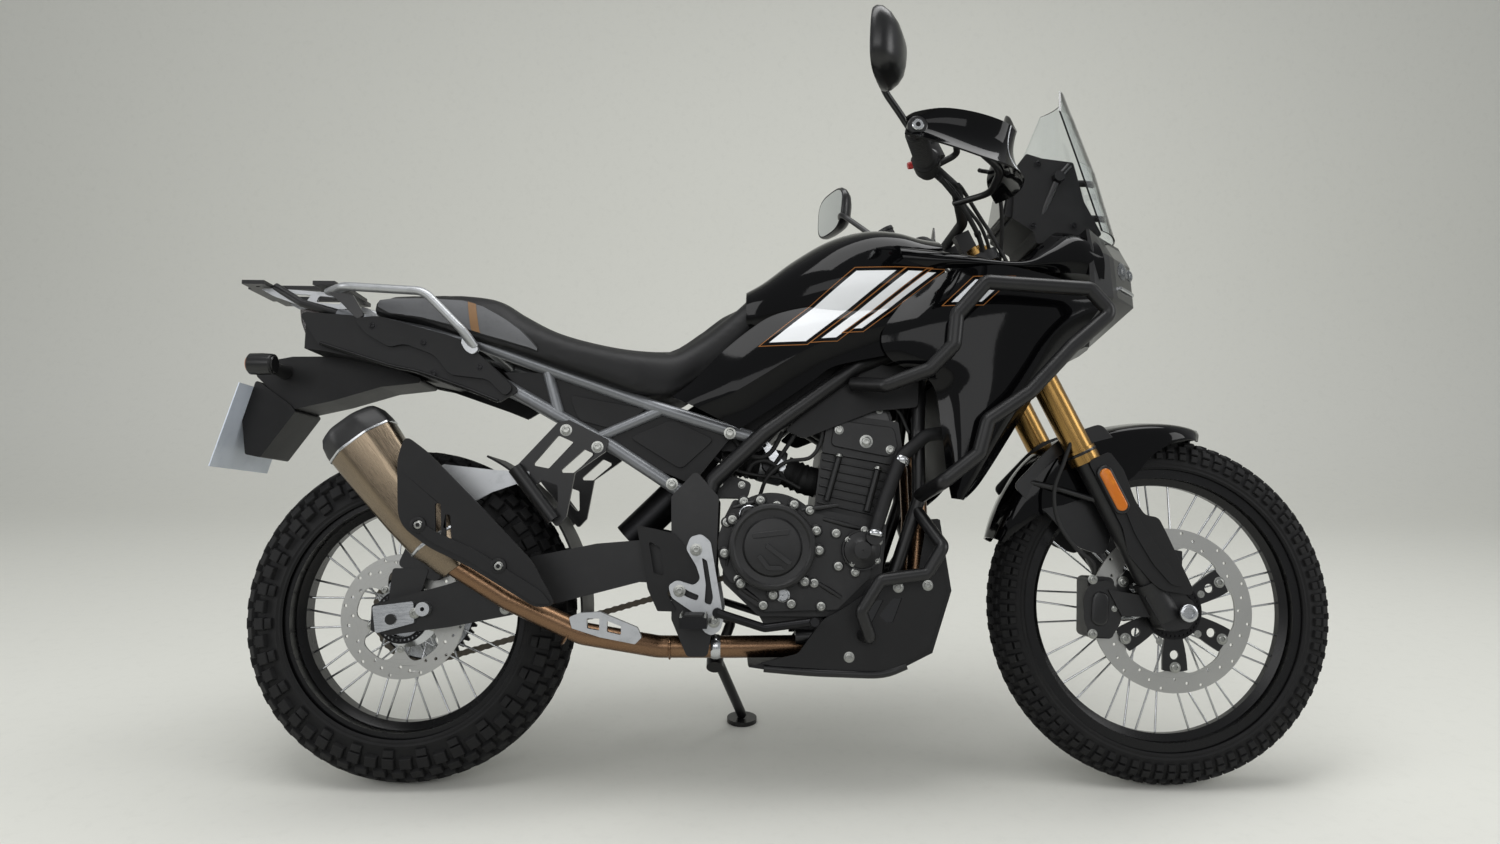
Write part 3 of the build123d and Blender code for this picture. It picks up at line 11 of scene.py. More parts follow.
import bmesh
import bpy
import numpy as np
from mathutils import Matrix, Vector, geometry
from mathutils.bvhtree import BVHTree


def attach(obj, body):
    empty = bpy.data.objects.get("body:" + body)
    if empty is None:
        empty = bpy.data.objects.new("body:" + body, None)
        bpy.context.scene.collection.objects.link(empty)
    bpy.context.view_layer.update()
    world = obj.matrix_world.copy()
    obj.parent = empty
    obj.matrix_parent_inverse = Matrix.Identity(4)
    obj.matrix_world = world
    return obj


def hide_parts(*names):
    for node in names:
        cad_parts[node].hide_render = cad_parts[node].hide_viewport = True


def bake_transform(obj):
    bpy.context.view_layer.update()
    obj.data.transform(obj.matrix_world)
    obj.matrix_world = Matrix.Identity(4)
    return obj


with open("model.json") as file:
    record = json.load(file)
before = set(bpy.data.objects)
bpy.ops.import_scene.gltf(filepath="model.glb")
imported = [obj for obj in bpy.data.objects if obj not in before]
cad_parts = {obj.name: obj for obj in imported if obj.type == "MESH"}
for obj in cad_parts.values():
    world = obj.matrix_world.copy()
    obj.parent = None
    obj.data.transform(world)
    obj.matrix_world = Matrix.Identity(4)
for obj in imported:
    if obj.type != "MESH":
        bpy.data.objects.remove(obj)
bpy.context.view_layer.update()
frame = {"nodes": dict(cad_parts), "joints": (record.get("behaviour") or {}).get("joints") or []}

# %% [markdown]
# ## Two working frames
# A motorcycle is easiest to draw standing upright, so every new point is first given on the upright
# machine in millimetres: x ahead of the rear axle, y to the left, z up from the ground. One rotation and
# one shift then lean it onto the stand. Pieces that turn with the handlebar are given along the steering
# axis instead. The record holds the rear axle's place, which fixes the shift without any measuring.

# %% Upright machine to leaning machine
LEAN = math.radians(12.0)
PITCH = math.radians(0.0208)
RAKE = math.radians(26.0)
WHEELBASE = 1505.0
REAR_R, FRONT_R = 326.5, 347.5
REAR_AXLE = np.array([0.0, 0.0, REAR_R])
FRONT_AXLE = np.array([WHEELBASE, 0.0, FRONT_R])
TRAIL = 65.0
joints = {joint["name"]: joint for joint in frame["joints"]}
TURN = np.array((Matrix.Rotation(PITCH, 3, "Y") @ Matrix.Rotation(-LEAN, 3, "X")))
SHIFT = np.array(joints["rear_wheel_spin"]["pos_m"]) - TURN @ (REAR_AXLE / 1000)
AHEAD = np.array([math.cos(RAKE), 0.0, math.sin(RAKE)])
ALONG = np.array([-math.sin(RAKE), 0.0, math.cos(RAKE)])
LEFT = np.array([0.0, 1.0, 0.0])
STEER_FOOT = FRONT_AXLE - TRAIL * AHEAD
HEAD = STEER_FOOT + 680.0 * ALONG


def leaned(points):
    """Row-frame metres from upright millimetres: the turn matrix times each point, plus the shift."""
    return np.asarray(points, float) / 1000 @ TURN.T + SHIFT


def steered(points):
    """Upright millimetres from (ahead, left, up) along the steering axis: a sum of three directions."""
    p = np.asarray(points, float)
    return STEER_FOOT + p[..., :1] * AHEAD + p[..., 1:2] * LEFT + p[..., 2:3] * ALONG


def from_head(points):
    """Upright millimetres from (ahead, left, up) measured from the middle of the steering head."""
    return np.asarray(points, float) + np.array([HEAD[0], 0.0, HEAD[2]])


print("rear axle at", [round(float(v), 3) for v in leaned(REAR_AXLE)])

# %% [markdown]
# ## Making meshes from numbers
# A smooth panel is a grid: two parameters run over it, and a formula gives a point for each pair. A tube
# is a circle carried along a path, and a wheel part is a profile turned round the axle. Each of these
# is worked out as one numpy array and handed to the mesh in one call, which is quick and repeatable.

# %% Grids, paths, turned profiles and plates
def finished(name, part, material, body="chassis", replaces=(), smooth=50.0):
    """A mesh piece from a part (its upright points and its faces), riding on a body unless that is None.
    Edges sharper than smooth degrees stay."""
    points, faces = part
    mesh = bpy.data.meshes.new(name)
    mesh.from_pydata(leaned(points).tolist(), [], [list(face) for face in faces])
    mesh.update()
    piece = bpy.data.objects.new(name, mesh)
    bpy.context.scene.collection.objects.link(piece)
    mesh.materials.append(material)
    outward(mesh)
    shaded(mesh, smooth)
    if body:
        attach(piece, body)
    if replaces:
        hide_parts(*replaces)
    return piece


def outward(mesh):
    """Welds doubles and turns every closed shell's faces outwards."""
    work = bmesh.new()
    work.from_mesh(mesh)
    bmesh.ops.remove_doubles(work, verts=work.verts, dist=1e-6)
    bmesh.ops.recalc_face_normals(work, faces=work.faces)
    work.to_mesh(mesh)
    work.free()


def shaded(mesh, angle):
    """Smooth shading that keeps edges sharper than an angle in degrees."""
    mesh.polygons.foreach_set("use_smooth", np.ones(len(mesh.polygons), bool))
    mesh.set_sharp_from_angle(angle=math.radians(angle))


def grid_faces(rows, columns, wrap_rows=False, wrap_columns=False):
    """Quads of a grid of points numbered row by row; a wrapped side closes on its first row or column."""
    down = np.arange(rows if wrap_rows else rows - 1)
    over = np.arange(columns if wrap_columns else columns - 1)
    r, c = np.meshgrid(down, over, indexing="ij")
    r2, c2 = (r + 1) % rows, (c + 1) % columns
    quads = np.stack([r * columns + c, r2 * columns + c, r2 * columns + c2, r * columns + c2], -1)
    return quads.reshape(-1, 4)


def closed_grid(points):
    """A grid of closed rings: its points and quads, with a face over each open end."""
    rows, columns = points.shape[:2]
    faces = grid_faces(rows, columns, False, True).tolist()
    faces.append(list(range(columns))[::-1])
    faces.append(list(range((rows - 1) * columns, rows * columns)))
    return points.reshape(-1, 3), faces


def joined(parts):
    """Several (points, faces) put into one pair, with the face numbers shifted."""
    points, faces, first = [], [], 0
    for some, quads in parts:
        points.append(np.asarray(some, float).reshape(-1, 3))
        faces += [[int(v) + first for v in quad] for quad in quads]
        first += len(points[-1])
    return np.concatenate(points), faces


def curve(points, per=10, closed=False):
    """A smooth path through points: the cubic that passes each one with the slope of its neighbours."""
    p = np.asarray(points, float)
    if closed:
        p = np.vstack([p[-1:], p, p[:2]])
    else:
        p = np.vstack([2 * p[:1] - p[1:2], p, 2 * p[-1:] - p[-2:-1]])
    t = np.linspace(0, 1, per, endpoint=False)[:, None]
    a, b, c, d = p[:-3, None], p[1:-2, None], p[2:-1, None], p[3:, None]
    run = 0.5 * (2 * b + (c - a) * t + (2 * a - 5 * b + 4 * c - d) * t ** 2
                 + (3 * b - a - 3 * c + d) * t ** 3)
    run = run.reshape(-1, p.shape[1])
    return run if closed else np.vstack([run, p[-2:-1]])


def bent(points, radius, arc=6):
    """A path of straight runs whose corners are rounded by a quadratic over the same length each side."""
    p = np.asarray(points, float)
    out, t = [p[:1]], np.linspace(0, 1, arc)[:, None]
    for before, corner, after in zip(p[:-2], p[1:-1], p[2:]):
        to_before, to_after = before - corner, after - corner
        near = [np.linalg.norm(to_before), np.linalg.norm(to_after)]
        a = corner + to_before * min(radius / near[0], 0.48)
        c = corner + to_after * min(radius / near[1], 0.48)
        out.append((1 - t) ** 2 * a + 2 * t * (1 - t) * corner + t ** 2 * c)
    return np.vstack(out + [p[-1:]])


def full_turn(count):
    """Angles in radians, evenly spaced round a circle."""
    return np.linspace(0, 2 * np.pi, count, endpoint=False)


def tube(path, radius, sides=20, flat=1.0):
    """A ring of points at each path point, square to the path. The ring's two directions come from the
    path's direction crossed with the axis it is least along; flat squeezes the second direction."""
    path = np.asarray(path, float)
    tangent = np.gradient(path, axis=0)
    tangent /= np.linalg.norm(tangent, axis=1, keepdims=True)
    spare = np.eye(3)[np.argmin(np.abs(tangent).max(0))]
    across = np.cross(tangent, spare)
    across /= np.linalg.norm(across, axis=1, keepdims=True)
    other = np.cross(tangent, across)
    turn = full_turn(sides)
    radii = np.broadcast_to(np.asarray(radius, float), (len(path),))[:, None, None]
    ring = across[:, None] * np.cos(turn)[None, :, None] + flat * other[:, None] * np.sin(turn)[None, :, None]
    return closed_grid(path[:, None] + radii * ring)


def turned(profile, centre, steps):
    """A closed profile of (along, radius) pairs turned round the y axis through a centre."""
    profile = np.asarray(profile, float)
    turn = full_turn(steps)
    points = np.zeros((steps, len(profile), 3))
    points[..., 0] = profile[:, 1] * np.cos(turn)[:, None]
    points[..., 1] = profile[:, 0]
    points[..., 2] = profile[:, 1] * np.sin(turn)[:, None]
    faces = grid_faces(steps, len(profile), True, True)
    return (points + np.asarray(centre, float)).reshape(-1, 3), faces


def cut_plate(outline, y_low, y_high, holes=()):
    """A flat plate in the (x, z) plane between two y values, with through holes. Blender's own polygon
    filler makes the two faces, and a wall joins each loop's points on one face to those on the other."""
    loops = [np.asarray(loop, float) for loop in (outline, *holes)]
    flat = np.vstack(loops)
    fill = geometry.tessellate_polygon([[Vector((x, z, 0)) for x, z in loop] for loop in loops])
    count = len(flat)
    near = np.column_stack([flat[:, 0], np.full(count, y_low), flat[:, 1]])
    far = np.column_stack([flat[:, 0], np.full(count, y_high), flat[:, 1]])
    faces = [list(face) for face in fill] + [[v + count for v in face[::-1]] for face in fill]
    first = 0
    for loop in loops:
        here = np.arange(len(loop)) + first
        after = np.roll(here, -1)
        faces += np.stack([here, after, after + count, here + count], -1).tolist()
        first += len(loop)
    return np.vstack([near, far]), faces


def circle(centre, radius, sides=24):
    """Points on a circle in the (x, z) plane."""
    turn = full_turn(sides)
    return np.column_stack([centre[0] + radius * np.cos(turn), centre[1] + radius * np.sin(turn)])


def rounded(outline, radius, arc=5):
    """A closed (x, z) outline whose corners are rounded."""
    p = np.asarray(outline, float)
    loop = bent(np.vstack([p[-1:], p, p[:1]]), radius, arc)
    return loop[1:-1]


def placed_on(parts, origins, outs, ups):
    """Copies of one small mesh, z along each out direction and x along each up: whole arrays at once."""
    points, faces = parts
    outs, ups, origins = (np.asarray(v, float).reshape(-1, 3) for v in (outs, ups, origins))
    outs = outs / np.linalg.norm(outs, axis=1, keepdims=True)
    side = np.cross(outs, ups)
    side /= np.linalg.norm(side, axis=1, keepdims=True)
    top = np.cross(side, outs)
    frames = np.stack([top, side, outs], 1)
    everywhere = origins[:, None] + np.einsum("vi,kij->kvj", points, frames)
    shift = (np.arange(len(origins)) * len(points))[:, None, None]
    if all(len(face) == len(faces[0]) for face in faces):
        numbers = (np.asarray(faces)[None] + shift).reshape(-1, len(faces[0])).tolist()
    else:
        numbers = [[v + int(s) for v in face] for s in shift.ravel() for face in faces]
    return everywhere.reshape(-1, 3), numbers


def bevelled(piece, width, segments=2):
    """Rounds a piece's sharp edges by a width in millimetres."""
    bevel = piece.modifiers.new("edges", "BEVEL")
    bevel.width = width / 1000
    bevel.segments = segments
    bevel.limit_method = "ANGLE"
    bevel.angle_limit = math.radians(40)
    bevel.harden_normals = False
    return piece


def smoothed(piece, levels=2):
    """Rounds a piece with subdivision, the same number of levels on screen and in the render."""
    rounds = piece.modifiers.new("rounding", "SUBSURF")
    rounds.levels = rounds.render_levels = levels
    return piece


BOTH_SIDES = ((-1, "right"), (1, "left"))


def plate(name, outline, span, material, corner=0, arc=5, holes=(), edge=0, segments=2,
          body="chassis", replaces=(), smooth=30):
    """A cut plate between two y values: its outline's corners are rounded first, and its edges last."""
    loop = rounded(outline, corner, arc) if corner else outline
    piece = finished(name, cut_plate(loop, *span, holes), material, body=body, replaces=replaces,
                     smooth=smooth)
    return bevelled(piece, edge, segments) if edge else piece


def rod(name, path, radius, material, sides=20, flat=1.0, body="chassis", replaces=(), smooth=50):
    """A tube along a path."""
    return finished(name, tube(path, radius, sides, flat), material, body=body, replaces=replaces,
                    smooth=smooth)


def lathe(name, profile, centre, material, steps, body="chassis", smooth=35):
    """A profile turned round the y axis through a centre."""
    return finished(name, turned(profile, centre, steps), material, body=body, smooth=smooth)


def y_span(side, near, far):
    """The two y values of a sheet on one side of the machine, the lower one first."""
    return sorted((side * near, side * far))


def around(centre, radius, angles, y):
    """Points at angles in radians on a circle in the (x, z) plane: cosine ahead and sine up, all at one y."""
    return [(centre[0] + radius * math.cos(a), y, centre[2] + radius * math.sin(a)) for a in angles]


print("helpers ready")

# %% [markdown]
# ## Finishes
# A finish is a small network of nodes. One helper adds a node with its settings and links, and every
# finish below is built from it. Colours are given as the hex codes a designer uses and turned into the
# linear numbers that light needs. Patterns read Object coordinates, which are metres here, so a scale
# of 1000 divided by a size in millimetres gives a pattern of that size.

# %% Colours and the node helper
def hue(code):
    """Linear red, green, blue and alpha from a hex colour: each part undone by the screen's own curve."""
    parts = np.array([int(code[i:i + 2], 16) for i in (1, 3, 5)]) / 255
    linear = np.where(parts <= 0.04045, parts / 12.92, ((parts + 0.055) / 1.055) ** 2.4)
    return (*linear.tolist(), 1.0)


def add(tree, kind, settings=None, **inputs):
    """Adds a node, sets its properties, and fills or links its inputs (an underscore stands for a space)."""
    made = tree.nodes.new(kind)
    for key, value in (settings or {}).items():
        setattr(made, key, value)
    for key, value in inputs.items():
        name = key.replace("_", " ")
        socket = made.inputs[int(name[1:])] if name[0] == "i" and name[1:].isdigit() else made.inputs[name]
        if isinstance(value, bpy.types.NodeSocket):
            tree.links.new(value, socket)
        else:
            socket.default_value = value
    return made


def finish(name, color, roughness, metallic=0.0, grain=None, bump=0.0, mottle=0.0, wear=None, **extra):
    """A surface with a grain of so many millimetres in its height, and a slow mottle of 60 mm in its
    roughness. wear is a second colour that shows in scattered small marks."""
    made = bpy.data.materials.new(name)
    made.use_nodes = True
    tree = made.node_tree
    shader = tree.nodes["Principled BSDF"]
    shader.inputs["Base Color"].default_value = hue(color)
    shader.inputs["Roughness"].default_value = roughness
    shader.inputs["Metallic"].default_value = metallic
    for key, value in extra.items():
        shader.inputs[key.replace("_", " ")].default_value = value
    where = add(tree, "ShaderNodeTexCoord").outputs["Object"]
    if mottle:
        slow = add(tree, "ShaderNodeTexNoise", Vector=where, Scale=1000 / 60, Detail=4.0).outputs["Fac"]
        spread = add(tree, "ShaderNodeMapRange", Value=slow, To_Min=roughness - mottle,
                     To_Max=roughness + mottle)
        tree.links.new(spread.outputs["Result"], shader.inputs["Roughness"])
    if grain:
        fine = add(tree, "ShaderNodeTexNoise", Vector=where, Scale=1000 / grain, Detail=3.0).outputs["Fac"]
        relief = add(tree, "ShaderNodeBump", Height=fine, Strength=bump, Distance=grain / 4000)
        tree.links.new(relief.outputs["Normal"], shader.inputs["Normal"])
    if wear:
        spots = add(tree, "ShaderNodeTexNoise", Vector=where, Scale=1000 / 35, Detail=8.0, Roughness=0.7)
        mask = add(tree, "ShaderNodeMapRange", Value=spots.outputs["Fac"], From_Min=0.52, From_Max=0.72)
        mix = add(tree, "ShaderNodeMix", {"data_type": "RGBA"}, Factor=mask.outputs["Result"],
                  i6=hue(color), i7=hue(wear))
        tree.links.new(mix.outputs[2], shader.inputs["Base Color"])
    return made


# %% [markdown]
# Painted and moulded parts. Powder coat has a slight orange peel; injection-moulded plastic carries the
# spark-eroded grain of its tool, about a millimetre coarse, drawn a little larger than life so it shows.
# Castings are rougher still. None of them is pure black: even dark paint returns a few percent of light.

# %% Paints, plastics and castings
frame_black = finish("powder_coated_steel", "#0f0f10", 0.38, grain=2.0, bump=0.12, mottle=0.05,
                     wear="#161617", Specular_IOR_Level=0.42)
tube_silver = finish("silver_grey_enamel", "#77797c", 0.34, 0.55, grain=1.6, bump=0.10, mottle=0.06,
                     wear="#84868a")
cast_black = finish("black_painted_casting", "#0e0e0f", 0.44, 0.1, grain=1.8, bump=0.35, mottle=0.08,
                    wear="#1b1b1c")
cast_silver = finish("bead_blasted_aluminium", "#b4b6b8", 0.42, 0.9, grain=1.2, bump=0.30, mottle=0.07,
                     wear="#a2a4a6")
matt_black = finish("grained_polypropylene", "#0d0d0e", 0.52, grain=1.4, bump=0.30, mottle=0.06,
                    wear="#121213", Specular_IOR_Level=0.32)
satin_black = finish("satin_abs", "#0d0d0e", 0.30, grain=2.4, bump=0.10, mottle=0.05, wear="#121213")
rim_black = finish("black_anodised_rim", "#0b0b0c", 0.27, 0.35, grain=3.0, bump=0.08, mottle=0.05,
                   wear="#101011")
rubber = finish("moulded_rubber", "#0f0f0f", 0.68, grain=1.1, bump=0.25, mottle=0.08, wear="#161616")
tyre_rubber = finish("tyre_rubber", "#101011", 0.72, grain=1.5, bump=0.30, mottle=0.08, wear="#181817",
                     Specular_IOR_Level=0.3)
plate_white = finish("retroreflective_sheet", "#d5dde8", 0.38, grain=0.8, bump=0.15, mottle=0.05,
                     wear="#ccd5e2")
amber = finish("amber_acrylic", "#c46a12", 0.16, grain=2.5, bump=0.5, mottle=0.03, wear="#d98420")
red_plastic = finish("red_acetal", "#a01412", 0.35, grain=1.5, bump=0.12, mottle=0.05, wear="#8c100f")
mirror_glass = finish("silvered_glass", "#e6eaec", 0.03, 1.0, grain=30.0, bump=0.01)
display_glass = finish("display_glass", "#050608", 0.06, grain=30.0, bump=0.01, Coat_Weight=0.6)
grey_vinyl = finish("grey_ribbed_vinyl", "#57585a", 0.56, grain=0.9, bump=0.7, mottle=0.05, wear="#4e4f51")
seat_thread = finish("black_piping", "#101010", 0.6, grain=1.2, bump=0.3, mottle=0.05, wear="#161616")
tan_vinyl = finish("tan_vinyl", "#7d5c38", 0.55, grain=1.2, bump=0.3, mottle=0.06, wear="#6d4f30")
print("paints, plastics and castings:", len(bpy.data.materials))

# %% [markdown]
# Bare metals. What the eye reads in steel is the direction of its last tool: a brushed can has long fine
# lines along it, a ground disc has rings about its centre, a turned tube has rings about its length.
# The lines are a noise stretched a hundredfold one way. A heat-tinted pipe also drifts in colour, from
# straw to bronze, because the oxide on it thickens where the gas is hottest.

# %% Lined metals
def lined_metal(name, color, second, roughness, stretch, line, centre=None, slope=0.0):
    """A metal with fine lines of so many millimetres across. stretch scales the noise along the upright x, y
    and z, after a turn that lays a direction slope degrees above x onto x; with a centre the lines are rings
    about the wheel axis through it."""
    made = finish(name, color, roughness, 1.0)
    tree = made.node_tree
    shader = tree.nodes["Principled BSDF"]
    where = add(tree, "ShaderNodeTexCoord").outputs["Object"]
    upright = add(tree, "ShaderNodeMapping", {"vector_type": "POINT"}, Vector=where,
                  Rotation=(LEAN, math.radians(slope), 0))
    read = upright.outputs["Vector"]
    if centre is not None:
        middle = Matrix.Rotation(LEAN, 3, "X") @ Vector(leaned(centre))
        off = add(tree, "ShaderNodeVectorMath", {"operation": "SUBTRACT"}, i0=read, i1=tuple(middle))
        flat = add(tree, "ShaderNodeVectorMath", {"operation": "MULTIPLY"}, i0=off.outputs[0], i1=(1, 0, 1))
        far = add(tree, "ShaderNodeVectorMath", {"operation": "LENGTH"}, i0=flat.outputs[0])
        read = add(tree, "ShaderNodeCombineXYZ", X=far.outputs["Value"]).outputs["Vector"]
        stretch = (1, 1, 1)
    scaled = add(tree, "ShaderNodeMapping", {"vector_type": "POINT"}, Vector=read, Scale=stretch)
    lines = add(tree, "ShaderNodeTexNoise", Vector=scaled.outputs["Vector"], Scale=1000 / line, Detail=4.0)
    rough = add(tree, "ShaderNodeMapRange", Value=lines.outputs["Fac"], From_Min=0.3, From_Max=0.7,
                To_Min=roughness - 0.10, To_Max=roughness + 0.12)
    tree.links.new(rough.outputs["Result"], shader.inputs["Roughness"])
    relief = add(tree, "ShaderNodeBump", Height=lines.outputs["Fac"], Strength=0.12, Distance=0.0004)
    tree.links.new(relief.outputs["Normal"], shader.inputs["Normal"])
    drift = add(tree, "ShaderNodeTexNoise", Vector=where, Scale=1000 / 140, Detail=3.0)
    mix = add(tree, "ShaderNodeMix", {"data_type": "RGBA"}, Factor=drift.outputs["Fac"], i6=hue(color),
              i7=hue(second))
    tree.links.new(mix.outputs[2], shader.inputs["Base Color"])
    return made


can_steel = lined_metal("brushed_titanium_tinted_can", "#6a6054", "#8b7c68", 0.27, (0.02, 1, 1), 1.0,
                        slope=127.75)
pipe_steel = lined_metal("heat_tinted_stainless", "#6d5645", "#8a6c50", 0.30, (0.3, 1, 1), 1.5)
gold_tube = lined_metal("gold_anodised_aluminium", "#8f7040", "#a98650", 0.27, (0.02, 1, 1), 1.2, slope=116.0)
front_disc_steel = lined_metal("ground_disc_steel_front", "#a9a9a6", "#bdbdb9", 0.34, (1, 1, 1), 0.9,
                               FRONT_AXLE)
rear_disc_steel = lined_metal("ground_disc_steel_rear", "#a9a9a6", "#bdbdb9", 0.34, (1, 1, 1), 0.9, REAR_AXLE)
bright_steel = lined_metal("polished_stainless", "#c4c6c8", "#b4b6b8", 0.20, (1, 1, 1), 1.0)
bolt_steel = lined_metal("zinc_plated_steel", "#a3a49f", "#8e8f8c", 0.30, (1, 1, 1), 0.8)
oiled_steel = lined_metal("oiled_chain_steel", "#4c4741", "#6a655c", 0.38, (1, 1, 1), 1.6)
machined = lined_metal("machined_aluminium", "#bfc1c3", "#adafb2", 0.27, (0.05, 1, 1), 1.0)
dark_steel = lined_metal("blackened_steel", "#242425", "#2f2f30", 0.38, (1, 1, 1), 1.4)
print("metals:", len(bpy.data.materials))

# %% [markdown]
# Clear parts. The screen is moulded polycarbonate, the headlamp a clear lens over a dark housing, the
# tail lamp a smoked one. Transmission lets light through, and a little roughness keeps reflections soft.

# %% Clear and tinted mouldings
clear_screen = finish("clear_polycarbonate", "#f2f6f7", 0.04, grain=40.0, bump=0.02, IOR=1.45,
                      Transmission_Weight=1.0)
lamp_clear = finish("clear_lamp_lens", "#dfe6ea", 0.05, grain=25.0, bump=0.03, IOR=1.45,
                    Transmission_Weight=0.9)
smoked_lens = finish("smoked_red_lens", "#6b6466", 0.09, grain=3.0, bump=0.35, IOR=1.45,
                     Transmission_Weight=0.75)
radiator_fins = finish("radiator_core", "#1a1a1b", 0.55, 0.4, grain=2.0, bump=0.6, mottle=0.05,
                       wear="#242425")
print("all plain finishes:", len(bpy.data.materials))

# %% [markdown]
# Gloss bodywork is lacquered plastic: a black base under a clear coat. The stripes on it are printed
# film under the lacquer, so they share its shine. They are drawn as plain slanted bars: each bar is the
# area inside a few straight edges on the side view, and the material asks, for every point, how far it
# is inside all of them at once.

# %% Lacquer with slanted bars
def striped_lacquer(name, base, bars, outline=None, roughness=0.07):
    """Black lacquer with bars. A bar is a list of (x, z) corners in order on the upright side view, and the
    point is inside when its least distance to the edges is above zero."""
    made = finish(name, base, roughness, grain=9.0, bump=0.025, Coat_Weight=0.1, Coat_Roughness=0.03,
                  Specular_IOR_Level=0.14)
    tree = made.node_tree
    shader = tree.nodes["Principled BSDF"]
    where = add(tree, "ShaderNodeTexCoord").outputs["Object"]
    inside = None
    turn_back = np.linalg.inv(TURN)
    for corners, color in bars:
        p = np.asarray(corners, float)
        edge = np.roll(p, -1, 0) - p
        normal = np.column_stack([-edge[:, 1], edge[:, 0]]) / np.linalg.norm(edge, axis=1)[:, None]
        if np.mean([(p.mean(0) - p[i]) @ normal[i] for i in range(len(p))]) < 0:
            normal = -normal
        least = None
        for (nx, nz), (px, pz) in zip(normal, p):
            # distance = n . (upright point - p), and the upright point is turn_back (object - shift) * 1000
            row = (nx * turn_back[0] + nz * turn_back[2]) * 1000
            base_value = -float(row @ SHIFT) - nx * px - nz * pz
            dot = add(tree, "ShaderNodeVectorMath", {"operation": "DOT_PRODUCT"}, i0=where, i1=tuple(row))
            far = add(tree, "ShaderNodeMath", {"operation": "ADD"}, i0=dot.outputs["Value"],
                      i1=float(base_value))
            least = far.outputs[0] if least is None else add(
                tree, "ShaderNodeMath", {"operation": "MINIMUM"}, i0=least, i1=far.outputs[0]).outputs[0]
        fill = add(tree, "ShaderNodeMapRange", Value=least, From_Min=-0.4, From_Max=0.4)
        before = inside if inside is not None else hue(base)
        inside = add(tree, "ShaderNodeMix", {"data_type": "RGBA"}, Factor=fill.outputs["Result"],
                     i6=before, i7=hue(color)).outputs[2]
        if outline:
            rim = add(tree, "ShaderNodeMath", {"operation": "ADD"}, i0=least, i1=7.0)
            away = add(tree, "ShaderNodeMath", {"operation": "ABSOLUTE"}, i0=rim.outputs[0])
            line = add(tree, "ShaderNodeMapRange", Value=away.outputs[0], From_Min=1.0, From_Max=0.5)
            inside = add(tree, "ShaderNodeMix", {"data_type": "RGBA"}, Factor=line.outputs["Result"],
                         i6=inside, i7=hue(outline)).outputs[2]
    if inside is not None:
        tree.links.new(inside, shader.inputs["Base Color"])
    return made


BARS = [                       # corners on the upright side view, and each bar's colour
    ([(706, 856), (776, 858), (950, 998), (874, 998)], "#e4e6e8"),
    ([(806, 864), (834, 866), (1002, 998), (974, 998)], "#e4e6e8"),
    ([(868, 884), (884, 885), (1028, 996), (1012, 996)], "#dfe1e3"),
    ([(1050, 930), (1078, 930), (1128, 976), (1098, 976)], "#dcdfe2"),
    ([(1094, 930), (1106, 930), (1156, 976), (1144, 976)], "#dcdfe2"),
]
body_gloss = striped_lacquer("black_lacquer_with_bars", "#060607", BARS, "#8a5a30")
plain_gloss = striped_lacquer("black_lacquer", "#060607", [])
print("lacquers made")

# %% [markdown]

# %% [markdown]
# ## Finishes for the solids that stay
# Many solids already have the right shape: tubes, plates, hubs and clamps. They keep their meshes and
# only get a finish, through their material slots.

# %% Dress the solids
DRESS = [                      # a finish, and the solids that get it
    (frame_black, "main_frame rack rack_lugs rack_legs swingarm pillion_hangers crash_bars side_stand"),
    (tube_silver, "subframe"),
    (cast_black, "engine_cases cylinder_head engine_covers rear_brake triple_clamps fork_lowers "
                 "front_brake"),
    (radiator_fins, "radiator"),
    (pipe_steel, "exhaust_pipe"),
    (can_steel, "silencer"),
    (matt_black, "silencer_shield seat side_panels upper_trims dash_tower tail_cowl plate_holder "
                 "skid_plate fork_guards airbox inner_panels heel_guards"),
    (body_gloss, "fuel_tank side_fairings front_fender handguards"),
    (cast_silver, "filler_lid grab_rails paddock_spools peg_brackets exhaust_brackets"),
    (satin_black, "nose_cowl mirrors"),
    (display_glass, "headlamp"),
    (clear_screen, "windscreen"),
    (plate_white, "number_plate"),
    (oiled_steel, "chain"),
    (dark_steel, "shock footpegs"),
    (gold_tube, "fork_tubes"),
    (rubber, "handlebar"),
    (tyre_rubber, "front_tyre rear_tyre"),
    (rim_black, "front_rim rear_rim"),
    (bright_steel, "front_hub rear_hub"),
    (front_disc_steel, "front_disc"),
    (rear_disc_steel, "rear_disc"),
    (machined, "chain_adjusters"),
]
for node_finish, node_names in DRESS:
    for node_name in node_names.split():
        materials = frame["nodes"][node_name].data.materials
        materials.clear()
        materials.append(node_finish)
print("solids dressed:", sum(len(node_names.split()) for _, node_names in DRESS))

# %% [markdown]
# ## Tyres
# Each tyre is a carcass turned round the axle with separate rubber blocks standing on it: rows over the
# crown and lugs on both shoulders, one pitch apart. A block is a small tapered box with eight corners and
# a chamfered top. It is made once and placed hundreds of times as one array, so that it stays light.

# %% Carcass and blocks
def block_mesh(length, width, height, taper=0.12, chamfer=1.2):
    """A tapered block: four rings of a rectangle, each a little smaller as it rises, and a lid."""
    levels = [(0.0, 1.0), (height - chamfer, 1.0 - taper), (height, 1.0 - taper - 2 * chamfer / width)]
    corners = np.array([(-1, -1), (1, -1), (1, 1), (-1, 1)]) / 2
    rings = [np.column_stack([corners * (length * share, width * share), np.full(4, up)])
             for up, share in levels]
    faces = [[3, 2, 1, 0]] + grid_faces(3, 4, False, True)[:, ::-1].tolist() + [[8, 9, 10, 11]]
    return np.vstack(rings), faces


